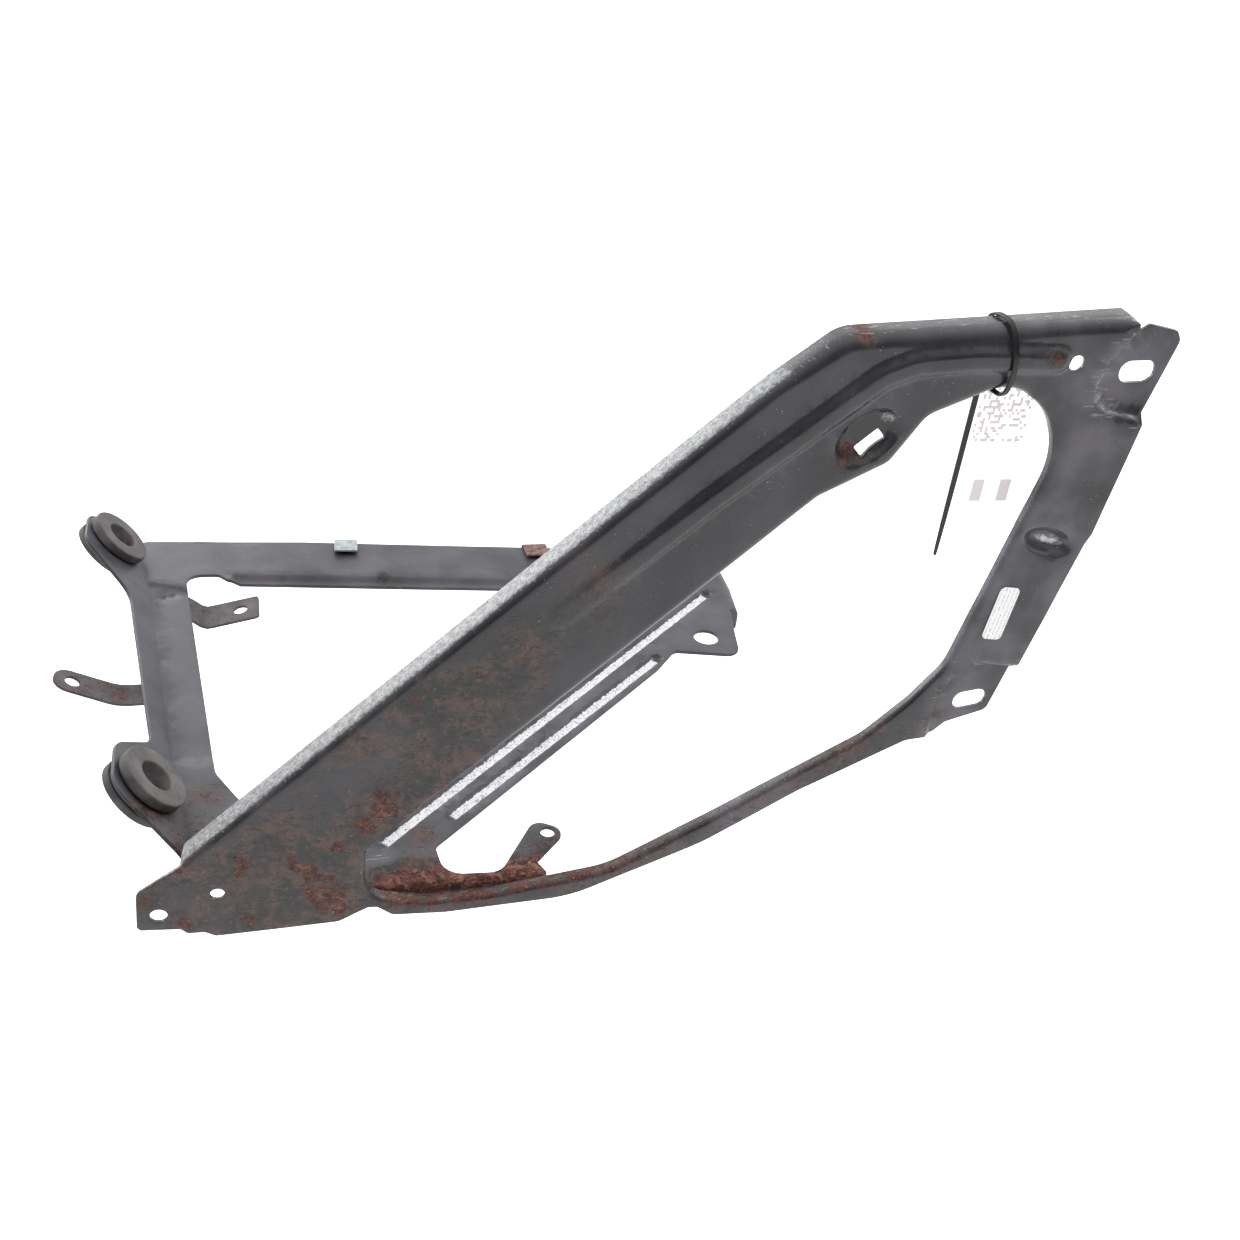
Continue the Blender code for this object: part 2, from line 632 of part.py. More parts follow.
def build_rear():
    holes = [rear_opening(), round_hole(293.2, 192.3, 7.1, SHEET, 28), round_hole(171.8, 35.8, 3.4, SHEET),
             round_hole(23.7, 10.4, 4.9, SHEET)]
    for centre in GROMMET_CENTRES.values():
        holes.append(round_hole(*centre, GROMMET_HOLE, SHEET, 36))
    rows = []
    for share in (0.0, 0.33, 0.67, 1.0):
        shift = share * FOLD_RADIUS * FOLD_ANGLE
        rows += [(fold_x(b) - shift / FOLD_SIDE[0], b) for b in np.arange(30.0, 312.0, 8.0)]
    for groove in BRACE_GROOVES:
        rows += path_rows(groove, (0.0, 1.8, 3.1, 4.4), ROW_STEP)
    rows += loop_rows(RAIL_LIP, (0.0, 1.4, 2.6, 4.0), ROW_STEP)
    rows += loop_rows(POST_PANEL, (0.0, 1.5, 3.0), ROW_STEP)
    for dimple in DIMPLES:
        rows += oval_rows(dimple, (2.8, 2.8), 0.0, (1.0, 0.55), 8)
    builder = pressed_sheet(rear_outline(), holes, rear_relief, place_rear, SHEET, rows)
    add_object("rear_frame", builder, material("rear_frame", (0.14, 0.14, 0.15), 0.3, 0.45))


# ---------------------------------------------------------------- straps
def level_relief(a, b):
    return np.zeros(np.shape(a))


def strap_placer(path, side, start):
    """Bends a flat strap along a (run, rise) path; side is 1 to the right and -1 to the left."""
    knots = [np.array(p, dtype=float) for p in path]
    lengths = [0.0]
    for p, q in zip(knots[:-1], knots[1:]):
        lengths.append(lengths[-1] + float(np.linalg.norm(q - p)))

    def place(a, b, h):
        i = 0
        while i < len(knots) - 2 and a > lengths[i + 1]:
            i += 1
        along = (knots[i + 1] - knots[i]) / np.linalg.norm(knots[i + 1] - knots[i])
        spot = knots[i] + along * (a - lengths[i]) + np.array([-along[1], along[0]]) * h
        return (start[0] + side * spot[0], start[1] + side * b, start[2] + spot[1])

    return place, lengths


def smooth_path(corners, radius, steps=4):
    """Rounds the corners of an open (run, rise) path."""
    points = [np.array(corners[0], dtype=float)]
    for before, here, after in zip(corners[:-2], corners[1:-1], corners[2:]):
        before, here, after = (np.array(p, dtype=float) for p in (before, here, after))
        reach_in = here + (before - here) / np.linalg.norm(before - here) * radius
        reach_out = here + (after - here) / np.linalg.norm(after - here) * radius
        for k in range(steps + 1):
            t = k / steps
            points.append((1 - t) ** 2 * reach_in + 2 * t * (1 - t) * here + t * t * reach_out)
    points.append(np.array(corners[-1], dtype=float))
    return points


def build_strap(name, corners, side, start, width, end_radius, hole_back, hole_radius):
    """A spot-welded strap: square under the post, rounded round its hole at the free end."""
    place, lengths = strap_placer(smooth_path(corners, 2.4), side, start)
    half = width / 2.0
    flat = (STRAP, 0.0)
    outline = rounded_loop([(0.0, -half, 2.0, *flat), (lengths[-1], -half, end_radius, *flat),
                            (lengths[-1], half, end_radius, *flat), (0.0, half, 2.0, *flat)], 3.0, 2.0)
    hole = round_hole(lengths[-1] - hole_back, 0.0, hole_radius, STRAP, 18)
    rows = [(a, b) for a in lengths[1:-1] for b in np.linspace(-half + 2.4, half - 2.4, 4)]
    builder = pressed_sheet(outline, [hole], level_relief, place, STRAP, rows)
    add_object(name, builder, material(name, (0.14, 0.14, 0.15), 0.3, 0.5))


# ---------------------------------------------------------------- turned and swept pieces
def lathe(profile, centre, axis, segments=40):
    """Turns a closed (radius, height) profile round an axis through a centre."""
    axis = np.array(axis) / np.linalg.norm(axis)
    side = np.cross(axis, (0.0, 1.0, 0.0))
    side = side / np.linalg.norm(side)
    other = np.cross(axis, side)
    builder = bmesh.new()
    rings = []
    for k in range(segments):
        turn = 2.0 * math.pi * k / segments
        radial = side * math.cos(turn) + other * math.sin(turn)
        rings.append([builder.verts.new(np.array(centre) + radial * r + axis * h) for r, h in profile])
    for k in range(segments):
        here, ahead = rings[k], rings[(k + 1) % segments]
        for i in range(len(profile)):
            j = (i + 1) % len(profile)
            builder.faces.new((here[i], ahead[i], ahead[j], here[j]))
    return builder


def build_grommets():
    """Rubber mounts with a wide groove, standing square to the turned-up ears."""
    profile = [
        (GROMMET_BORE, -7.2), (GROMMET_BORE + 0.8, -8.2), (GROMMET_BACK - 1.4, -8.2), (GROMMET_BACK, -7.0),
        (GROMMET_BACK, -4.6), (GROMMET_BACK - 0.8, -4.0), (GROMMET_CORE, -4.0), (GROMMET_CORE, 1.6),
        (GROMMET_FRONT - 0.6, 1.6), (GROMMET_FRONT, 2.2), (GROMMET_FRONT, 5.8), (GROMMET_FRONT - 1.2, 7.0),
        (GROMMET_BORE + 0.8, 7.0), (GROMMET_BORE, 6.2),
    ]
    for name, (a, b) in GROMMET_CENTRES.items():
        centre = np.array(place_rear(a, b, 0.0))
        normal = np.array(place_rear(a, b, 1.0)) - centre
        axis = normal + np.array([0.0, -0.05, 0.0])
        builder = lathe(profile, centre, axis)
        add_object(name, builder, material(name, (0.10, 0.095, 0.09), 0.0, 0.75))


def swept_band(path, widths, thickness, across):
    """A flat band along a 3-D path; across gives its width direction."""
    path = [np.array(p, dtype=float) for p in path]
    across = np.array(across, dtype=float) / np.linalg.norm(across)
    builder = bmesh.new()
    sections = []
    for i, spot in enumerate(path):
        ahead = path[min(i + 1, len(path) - 1)] - path[max(i - 1, 0)]
        ahead = ahead / np.linalg.norm(ahead)
        wide = across - ahead * float(across @ ahead)
        wide = wide / np.linalg.norm(wide)
        thick = np.cross(ahead, wide)
        half = widths[i] / 2.0
        sections.append([builder.verts.new(spot + wide * u * half + thick * v * thickness / 2.0)
                         for u, v in ((-1, -1), (1, -1), (1, 1), (-1, 1))])
    return builder, sections


def skin_sections(builder, sections):
    for here, ahead in zip(sections[:-1], sections[1:]):
        for k in range(4):
            m = (k + 1) % 4
            builder.faces.new((here[k], ahead[k], ahead[m], here[m]))
    builder.faces.new(sections[0][::-1])
    builder.faces.new(sections[-1])


TIE_LOOP = [
    (317.6, 11.4, 240.8), (317.2, 14.0, 241.3), (316.6, 16.4, 242.2), (315.4, 17.2, 245.0),
    (313.5, 16.7, 256.0), (315.2, 15.2, 264.4), (316.0, 13.6, 267.0), (317.0, 9.6, 268.0),
    (317.8, 5.0, 268.0), (318.4, 2.0, 266.8), (319.0, -0.2, 264.2), (320.0, -1.2, 260.4),
    (321.6, -1.3, 255.0), (322.3, -1.2, 250.0), (322.8, -1.0, 243.0), (322.4, -0.2, 239.6),
    (321.8, 2.0, 238.3), (320.0, 6.0, 238.9), (318.2, 9.6, 239.8),
]
TIE_TAIL = [(317.4, 10.6, 239.0), (317.4, 10.6, 228.0), (317.5, 10.6, 195.0), (317.5, 10.6, 172.0),
            (317.5, 10.6, 161.8)]
TIE_TAIL_WIDTHS = (2.4, 2.4, 2.3, 1.9, 1.1)
TIE_HEAD = ((317.7, 10.7, 240.3), (4.8, 4.4, 5.0))


def box(centre, size):
    builder = bmesh.new()
    bmesh.ops.create_cube(builder, size=1.0)
    for vert in builder.verts:
        vert.co = [centre[i] + vert.co[i] * size[i] for i in range(3)]
    return builder


def joined(name, pieces, mat):
    """Unites overlapping closed pieces into one solid under the first piece's name."""
    objects = [add_object(name if i == 0 else name + "_cut", piece, mat) for i, piece in enumerate(pieces)]
    for other in objects[1:]:
        union = objects[0].modifiers.new("union", "BOOLEAN")
        union.operation = "UNION"
        union.solver = "EXACT"
        union.object = other
    bpy.context.view_layer.update()
    evaluated = objects[0].evaluated_get(bpy.context.evaluated_depsgraph_get())
    mesh = bpy.data.meshes.new_from_object(evaluated)
    objects[0].modifiers.clear()
    objects[0].data = mesh
    for other in objects[1:]:
        bpy.data.objects.remove(other, do_unlink=True)
    return objects[0]


def build_tie():
    """Nylon tie: a loop over the top rail, a square head behind it and a stiff free tail."""
    loop, loop_sections = swept_band(TIE_LOOP, [TIE_WIDTH] * len(TIE_LOOP), TIE_THICKNESS, (1.0, 0.0, 0.2))
    skin_sections(loop, loop_sections)
    tail, tail_sections = swept_band(TIE_TAIL, TIE_TAIL_WIDTHS, TIE_THICKNESS, (1.0, 0.0, 0.0))
    skin_sections(tail, tail_sections)
    joined("cable_tie", [loop, tail, box(*TIE_HEAD)], material("cable_tie", (0.02, 0.02, 0.02), 0.0, 0.35))


def build_tag():
    """Paper tag threaded on the tie; its origin is the strand that it swings on."""
    width, height = TAG_SIZE
    right, top = TAG_HINGE[0] + TAG_REACH, TAG_HINGE[2] + 5.0
    flat = (TAG_THICKNESS, 0.0)
    outline = rounded_loop([(right - width, top - height, 2.5, *flat), (right, top - height, 2.5, *flat),
                            (right, top, 2.5, *flat), (right - width, top, 2.5, *flat)], 30.0, 2.0)
    hole = round_hole(TAG_HINGE[0], TAG_HINGE[2] - TAG_HOLE + 1.6, TAG_HOLE, TAG_THICKNESS, 16)
    builder = pressed_sheet(outline, [hole], level_relief,
                            lambda a, b, h: (a, TAG_HINGE[1] - TAG_THICKNESS / 2.0 - h, b), TAG_THICKNESS)
    add_object("hang_tag", builder, material("hang_tag", (0.9, 0.9, 0.9), 0.0, 0.7), pivot=TAG_HINGE)


def build_sticker():
    """Label stuck to the leg just clear of the paint."""
    flat = (STICKER_THICKNESS, 0.0)
    cos_a, sin_a = math.cos(math.radians(STICKER_TILT)), math.sin(math.radians(STICKER_TILT))
    corners = []
    for side_a, side_b in ((-1, -1), (1, -1), (1, 1), (-1, 1)):
        u, v = side_a * STICKER_SIZE[0] / 2.0, side_b * STICKER_SIZE[1] / 2.0
        corners.append((STICKER_CENTRE[0] + u * cos_a - v * sin_a, STICKER_CENTRE[1] + u * sin_a + v * cos_a,
                        2.2, *flat))
    builder = pressed_sheet(rounded_loop(corners, 30.0, 1.2), [], level_relief,
                            lambda a, b, h: (a, -STICKER_GAP - STICKER_THICKNESS - h, b), STICKER_THICKNESS)
    add_object("label_sticker", builder, material("label_sticker", (0.9, 0.9, 0.9), 0.0, 0.5))


def build_clip_nuts():
    """U-shaped spring clips pushed over the rear edge of the rail."""
    for name, (centre_a, edge_b, width, turn) in CLIP_NUTS.items():
        cos_a, sin_a = math.cos(math.radians(turn)), math.sin(math.radians(turn))
        profile = [(-15.0, 3.0), (-13.0, 1.9), (-1.0, 1.3), (0.6, 1.1), (1.5, 0.2), (1.7, -1.2), (1.5, -2.7),
                   (0.4, -3.5), (-4.0, -3.6), (-11.0, -3.6), (-14.0, -4.4)]
        route = [(centre_a - sin_a * run, edge_b + cos_a * run, rise) for run, rise in profile]
        band, sections = swept_band(route, [width] * len(route), CLIP_GAUGE, (cos_a, sin_a, 0.0))
        skin_sections(band, sections)
        add_object(name, band, material(name, (0.5, 0.52, 0.53), 0.8, 0.45))


def build_all():
    clear_scene()
    build_ring()
    build_rear()
    build_strap("post_clip_tab", [(0.0, 0.0), (4.5, 0.0), (13.5, -7.4), (42.5, -0.4)], 1.0, (2.5, 244.6, -4.0),
                21.0, 2.2, 10.4, 4.0)
    build_strap("left_hose_tab", [(0.0, 0.0), (24.0, -0.6), (29.0, 0.2), (57.0, 12.6)], -1.0, (2.0, 164.5, -4.2),
                16.4, 8.0, 9.4, 3.9)
    build_grommets()
    build_clip_nuts()
    build_tie()
    build_tag()
    build_sticker()


build_all()
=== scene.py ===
import math

import bmesh
import bpy
import numpy as np
from mathutils import Matrix, Vector
from mathutils.geometry import delaunay_2d_cdt


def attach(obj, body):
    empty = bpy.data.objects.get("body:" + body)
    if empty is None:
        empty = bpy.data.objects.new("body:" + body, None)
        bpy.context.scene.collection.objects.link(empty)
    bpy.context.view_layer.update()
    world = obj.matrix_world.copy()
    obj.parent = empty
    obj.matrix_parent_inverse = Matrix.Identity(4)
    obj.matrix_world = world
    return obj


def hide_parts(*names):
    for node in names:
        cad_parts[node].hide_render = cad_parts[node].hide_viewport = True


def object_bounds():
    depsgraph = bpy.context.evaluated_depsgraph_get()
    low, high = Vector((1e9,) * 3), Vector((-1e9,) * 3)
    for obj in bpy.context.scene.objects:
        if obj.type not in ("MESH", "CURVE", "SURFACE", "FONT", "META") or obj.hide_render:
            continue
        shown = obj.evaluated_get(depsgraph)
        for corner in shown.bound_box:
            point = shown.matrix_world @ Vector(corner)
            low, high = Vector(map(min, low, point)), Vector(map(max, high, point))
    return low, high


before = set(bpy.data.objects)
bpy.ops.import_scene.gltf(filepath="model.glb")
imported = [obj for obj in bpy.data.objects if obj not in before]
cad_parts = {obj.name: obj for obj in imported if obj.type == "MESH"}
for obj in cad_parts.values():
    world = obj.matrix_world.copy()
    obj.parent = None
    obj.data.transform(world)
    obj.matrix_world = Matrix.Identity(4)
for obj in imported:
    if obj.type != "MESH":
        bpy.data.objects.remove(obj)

cad_low, cad_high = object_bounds()

# ================================================================ ring panel
# The upright ring is one stamping of 2 mm sheet steel: a gusset with a fixing tab, a diagonal, a top rail
# and a leg with two slotted pads, its edges turned back in the press. It was dipped in black paint, which
# is still glossy at the top and has gone to brown film and dark red scabs towards the gusset.
MM = 0.001
DATUM = (379.0, 5.0, 259.0)
SHEET = 2.0
EDGE_STEP = 5.0
ARC_STEP = 1.6
ROW_STEP = 3.2
BEND_STEPS = 6
CELL = 1.3
SLIVER_AREA = 1e-4


def rounded_loop(corners, edge_step=EDGE_STEP, arc_step=ARC_STEP):
    """Rounds each corner (a, b, radius, flange depth, bend radius) of a closed outline."""
    ends = []
    for i, (a, b, radius, depth, bend) in enumerate(corners):
        here = np.array([a, b])
        before = np.array(corners[i - 1][:2]) - here
        after = np.array(corners[(i + 1) % len(corners)][:2]) - here
        len_before, len_after = np.linalg.norm(before), np.linalg.norm(after)
        before, after = before / len_before, after / len_after
        opening = math.acos(max(-1.0, min(1.0, float(before @ after))))
        turn = math.pi - opening
        cut = min(radius / max(math.tan(opening / 2.0), 1e-6), 0.48 * len_before, 0.48 * len_after)
        true_radius = cut * math.tan(opening / 2.0)
        start, finish = here + before * cut, here + after * cut
        if turn < 1e-3 or true_radius < 1e-6:
            ends.append(([here] if turn >= 1e-3 else [start, finish], depth, bend))
            continue
        steps = max(1, int(math.ceil(true_radius * turn / arc_step)),
                    int(math.ceil(math.degrees(turn) / 12.0)))
        middle = (before + after) / np.linalg.norm(before + after)
        radial = start - (here + middle * (true_radius / math.sin(opening / 2.0)))
        centre = start - radial
        side = 1.0 if radial[0] * (finish - centre)[1] - radial[1] * (finish - centre)[0] > 0 else -1.0
        arc = []
        for k in range(steps + 1):
            cos_a, sin_a = math.cos(side * turn * k / steps), math.sin(side * turn * k / steps)
            arc.append(centre + np.array([radial[0] * cos_a - radial[1] * sin_a,
                                          radial[0] * sin_a + radial[1] * cos_a]))
        ends.append((arc, depth, bend))
    points = []
    for i, (arc, depth, bend) in enumerate(ends):
        points.extend([(p[0], p[1], depth, bend) for p in arc])
        next_arc, next_depth, next_bend = ends[(i + 1) % len(ends)]
        run = next_arc[0] - arc[-1]
        pieces = max(1, int(math.ceil(np.linalg.norm(run) / edge_step)))
        for k in range(1, pieces):
            f = k / pieces
            p = arc[-1] + run * f
            points.append((p[0], p[1], depth + (next_depth - depth) * f, bend + (next_bend - bend) * f))
    kept = [points[0]]
    for p in points[1:]:
        if math.hypot(p[0] - kept[-1][0], p[1] - kept[-1][1]) > 0.05:
            kept.append(p)
    if math.hypot(kept[0][0] - kept[-1][0], kept[0][1] - kept[-1][1]) <= 0.05:
        kept.pop()
    return np.array(kept)


def round_hole(a, b, radius, thickness, segments=40):
    turn = np.linspace(0.0, 2.0 * math.pi, segments, endpoint=False)
    return np.column_stack([a + radius * np.cos(turn), b + radius * np.sin(turn),
                            np.full(segments, thickness), np.full(segments, 0.35)])


def slot_hole(a, b, length, height, angle, corner, thickness):
    """A slot with rounded corners, turned by an angle in degrees."""
    cos_a, sin_a = math.cos(math.radians(angle)), math.sin(math.radians(angle))
    corners = []
    for side_a, side_b in ((-1, -1), (1, -1), (1, 1), (-1, 1)):
        u, v = side_a * length / 2.0, side_b * height / 2.0
        corners.append((a + u * cos_a - v * sin_a, b + u * sin_a + v * cos_a, corner, thickness, 0.35))
    return rounded_loop(corners, arc_step=0.9)


def signed_area(loop):
    a, b = loop[:, 0], loop[:, 1]
    return 0.5 * float(np.sum(a * np.roll(b, -1) - np.roll(a, -1) * b))


def loop_normals(loop):
    """Unit normals that point out of a counter-clockwise loop."""
    ahead = np.roll(loop[:, :2], -1, axis=0) - loop[:, :2]
    ahead = ahead / np.linalg.norm(ahead, axis=1)[:, None]
    along = ahead + np.roll(ahead, 1, axis=0)
    along = along / np.linalg.norm(along, axis=1)[:, None]
    return np.column_stack([along[:, 1], -along[:, 0]])


def inside(loop, a, b):
    """Even-odd test of many points against one closed loop."""
    result = np.zeros(len(a), dtype=bool)
    a0, b0 = loop[:, 0], loop[:, 1]
    a1, b1 = np.roll(a0, -1), np.roll(b0, -1)
    for i in range(len(loop)):
        crosses = (b0[i] > b) != (b1[i] > b)
        if crosses.any():
            result ^= crosses & (a < a0[i] + (b - b0[i]) * (a1[i] - a0[i]) / (b1[i] - b0[i] + 1e-12))
    return result


def distance_to_path(path, a, b, closed=False):
    """Distance from points to a polyline, how far along it they lie, and on which side."""
    best = np.full(np.shape(a), 1e9)
    along = np.zeros(np.shape(a))
    side = np.zeros(np.shape(a))
    travelled = 0.0
    for i in range(len(path) if closed else len(path) - 1):
        p = np.array(path[i][:2], dtype=float)
        run = np.array(path[(i + 1) % len(path)][:2], dtype=float) - p
        length = float(np.linalg.norm(run))
        t = np.clip(((a - p[0]) * run[0] + (b - p[1]) * run[1]) / length ** 2, 0.0, 1.0)
        away = np.hypot(a - p[0] - t * run[0], b - p[1] - t * run[1])
        nearer = away < best
        best = np.where(nearer, away, best)
        along = np.where(nearer, travelled + t * length, along)
        side = np.where(nearer, (run[0] * (b - p[1]) - run[1] * (a - p[0])) / length, side)
        travelled += length
    return best, along, side


def soft_step(value, start, end):
    t = np.clip((value - start) / (end - start), 0.0, 1.0)
    return t * t * (3.0 - 2.0 * t)


def region_depth(loop, a, b, ramp):
    """1 well inside a loop, 0 outside, with a soft wall of the given width inside the edge."""
    away = distance_to_path(loop, a, b, closed=True)[0]
    return np.where(inside(np.array(loop, dtype=float), a, b), soft_step(away, 0.0, ramp), 0.0)


def spots(a, b, places):
    """Soft round patches, each (a, b, radius, amount)."""
    total = np.zeros(np.shape(a))
    for at_a, at_b, radius, amount in places:
        total = total + amount * np.exp(-((a - at_a) ** 2 + (b - at_b) ** 2) / radius ** 2)
    return total


def ripple(a, b, size, height):
    """Slow unevenness of a pressed and welded sheet."""
    return height * (np.sin(a / size + 1.3) * np.cos(b / (0.8 * size) + 0.4)
                     + 0.6 * np.sin((a + 1.7 * b) / (0.55 * size))
                     + 0.5 * np.cos((1.4 * a - b) / (0.7 * size)))


def row_grid(loops, spacing, margin, dense):
    """Points that cover a sheet in staggered rows, with the dense ones kept first."""
    low, high = loops[0][:, :2].min(axis=0), loops[0][:, :2].max(axis=0)
    rows = list(dense)
    for j, b in enumerate(np.arange(low[1], high[1], spacing * 0.87)):
        rows.extend([(a, b) for a in np.arange(low[0] + (j % 2) * spacing / 2.0, high[0], spacing)])
    points = np.array(rows)
    keep = inside(loops[0], points[:, 0], points[:, 1])
    for loop in loops[1:]:
        keep &= ~inside(loop, points[:, 0], points[:, 1])
    for loop in loops:
        keep &= distance_to_path(loop, points[:, 0], points[:, 1], closed=True)[0] > margin
    taken, result = set(), []
    for index in np.nonzero(keep)[0]:
        column, row = (int(v // CELL) for v in points[index])
        reach = 0 if index < len(dense) else max(1, int(round(0.62 * spacing / CELL)))
        near = range(-reach, reach + 1)
        if not any((column + i, row + j) in taken for i in near for j in near):
            taken.add((column, row))
            result.append(points[index])
    return np.array(result)


def path_rows(path, offsets, spacing):
    """Points in rows beside a polyline, with fans round its ends."""
    rows = []
    for here, ahead in zip(path[:-1], path[1:]):
        here, ahead = np.array(here, dtype=float), np.array(ahead, dtype=float)
        run = ahead - here
        length = float(np.linalg.norm(run))
        side = np.array([-run[1], run[0]]) / length
        count = max(1, int(round(length / spacing)))
        for k in range(count):
            for offset in offsets:
                for sign in (1.0, -1.0):
                    rows.append(tuple(here + run * (k + 0.5) / count + side * offset * sign))
    for tip, neighbour in ((path[0], path[1]), (path[-1], path[-2])):
        away = math.atan2(tip[1] - neighbour[1], tip[0] - neighbour[0])
        for offset in offsets:
            for turn in np.linspace(-1.57, 1.57, 9):
                rows.append((tip[0] + offset * math.cos(away + turn),
                             tip[1] + offset * math.sin(away + turn)))
    return rows


def loop_rows(loop, insets, spacing):
    """Points in rows just inside a closed outline."""
    dense = rounded_loop([(p[0], p[1], 3.0, 0.0, 0.0) for p in loop], spacing, spacing)
    dense = dense if signed_area(dense) > 0.0 else dense[::-1]
    normals = loop_normals(dense)
    return [tuple(p) for inset in insets for p in dense[:, :2] - normals * inset]


def oval_rows(centre, half_size, angle, shares, count):
    """Points in rings over an oval hollow."""
    cos_a, sin_a = math.cos(math.radians(angle)), math.sin(math.radians(angle))
    rows = [centre]
    for share in shares:
        for k in range(count):
            u = share * half_size[0] * math.cos(2.0 * math.pi * k / count)
            v = share * half_size[1] * math.sin(2.0 * math.pi * k / count)
            rows.append((centre[0] + u * cos_a - v * sin_a, centre[1] + u * sin_a + v * cos_a))
    return rows


def triangulate(loops, extra):
    """Fills between the first loop and the rest; returns triangles over loops plus extra points."""
    points, edges = [], []
    for loop in loops:
        start = len(points)
        points.extend([tuple(p[:2]) for p in loop])
        edges.extend([(start + i, start + (i + 1) % len(loop)) for i in range(len(loop))])
    points.extend([tuple(p) for p in extra])
    found, _, faces, origins, _, _ = delaunay_2d_cdt(points, edges, [], 0, 1e-7)
    corners = np.array([(p[0], p[1]) for p in found])[np.array(faces)]
    centres = corners.mean(axis=1)
    first, second = corners[:, 1] - corners[:, 0], corners[:, 2] - corners[:, 0]
    keep = np.abs(first[:, 0] * second[:, 1] - first[:, 1] * second[:, 0]) > SLIVER_AREA
    keep &= inside(loops[0], centres[:, 0], centres[:, 1])
    for loop in loops[1:]:
        keep &= ~inside(loop, centres[:, 0], centres[:, 1])
    return [[origins[i][0] for i in face] for face, wanted in zip(faces, keep) if wanted]


def edge_rings(loop, outward, thickness):
    """Cross-sections of a turned edge as (positions, heights, how far round), from face to back."""
    depth = np.maximum(loop[:, 2], thickness)
    wall = np.clip(depth - thickness, 0.5, thickness)
    bend = np.minimum(loop[:, 3], depth - 0.2)
    root = np.maximum(bend, wall)
    inner = root - wall
    sections = []
    for k in range(BEND_STEPS + 1):
        turn = math.pi / 2.0 * k / BEND_STEPS
        sections.append((-bend + bend * math.sin(turn), -(bend - bend * math.cos(turn)), k / BEND_STEPS))
    sections.append((np.zeros(len(loop)), -(bend + depth) / 2.0, 1.0))
    sections.append((np.zeros(len(loop)), -(depth - 0.3), 1.0))
    sections.append((-0.3 * np.ones(len(loop)), -depth, 1.2))
    sections.append((-wall, -depth, 1.2))
    for k in range(BEND_STEPS, -1, -1):
        turn = math.pi / 2.0 * k / BEND_STEPS
        height = np.maximum(-thickness - inner * (1.0 - math.cos(turn)), -depth)
        sections.append((-root + inner * math.sin(turn), height, -1.0))
    return [(loop[:, :2] + outward * shift[:, None], height, share) for shift, height, share in sections]


def pressed_sheet(outer, holes, relief, place, thickness, finish, rows=(), spacing=5.0):
    """A sheet with turned edges. relief(a, b) lifts it off the blank, place(a, b, h) sets it in space and
    finish(a, b, share) gives rust, polish and dust; share is 0 on the face, 1 on a flange, -1 behind."""
    builder = bmesh.new()
    layers = [builder.verts.layers.float.new(name) for name in ("rust", "polish", "dust")]

    def add(points, heights, share):
        made = []
        values = finish(points[:, 0], points[:, 1], share)
        for i, (p, h) in enumerate(zip(points, heights)):
            vert = builder.verts.new([(v - d) * MM for v, d in zip(place(p[0], p[1], h), DATUM)])
            for layer, value in zip(layers, values):
                vert[layer] = float(value[i])
            made.append(vert)
        return made

    face_loops, back_loops = [], []
    for index, loop in enumerate([outer] + list(holes)):
        loop = loop if signed_area(loop) > 0.0 else loop[::-1]
        outward = loop_normals(loop) if index == 0 else -loop_normals(loop)
        rings = edge_rings(loop, outward, thickness)
        made = [add(points, height + relief(points[:, 0], points[:, 1]), share)
                for points, height, share in rings]
        for lower, upper in zip(made[:-1], made[1:]):
            for i in range(len(loop)):
                j = (i + 1) % len(loop)
                builder.faces.new((lower[i], lower[j], upper[j], upper[i]))
        face_loops.append((rings[0][0], made[0]))
        back_loops.append((rings[-1][0], made[-1]))
    for entries, drop, share in ((face_loops, 0.0, 0.0), (back_loops, thickness, -1.0)):
        loops = [entry[0] for entry in entries]
        points = row_grid(loops, spacing, 0.7, rows)
        verts = [vert for entry in entries for vert in entry[1]]
        verts.extend(add(points, relief(points[:, 0], points[:, 1]) - drop, share))
        for triangle in triangulate(loops, points):
            builder.faces.new([verts[i] for i in triangle])
    bmesh.ops.remove_doubles(builder, verts=builder.verts[:], dist=1e-6)
    bmesh.ops.dissolve_degenerate(builder, edges=builder.edges[:], dist=1e-6)
    bmesh.ops.recalc_face_normals(builder, faces=builder.faces[:])
    return builder


def stand(name, builder, finish_material, node, sharp=38.0):
    """Makes the finished piece, lets it ride with the bracket and stands it in for its solid."""
    mesh = bpy.data.meshes.new(name)
    builder.to_mesh(mesh)
    builder.free()
    mesh.polygons.foreach_set("use_smooth", [True] * len(mesh.polygons))
    mesh.set_sharp_from_angle(angle=math.radians(sharp))
    mesh.materials.append(finish_material)
    piece = bpy.data.objects.new(name, mesh)
    bpy.context.collection.objects.link(piece)
    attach(piece, "bracket")
    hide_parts(node)
    return piece


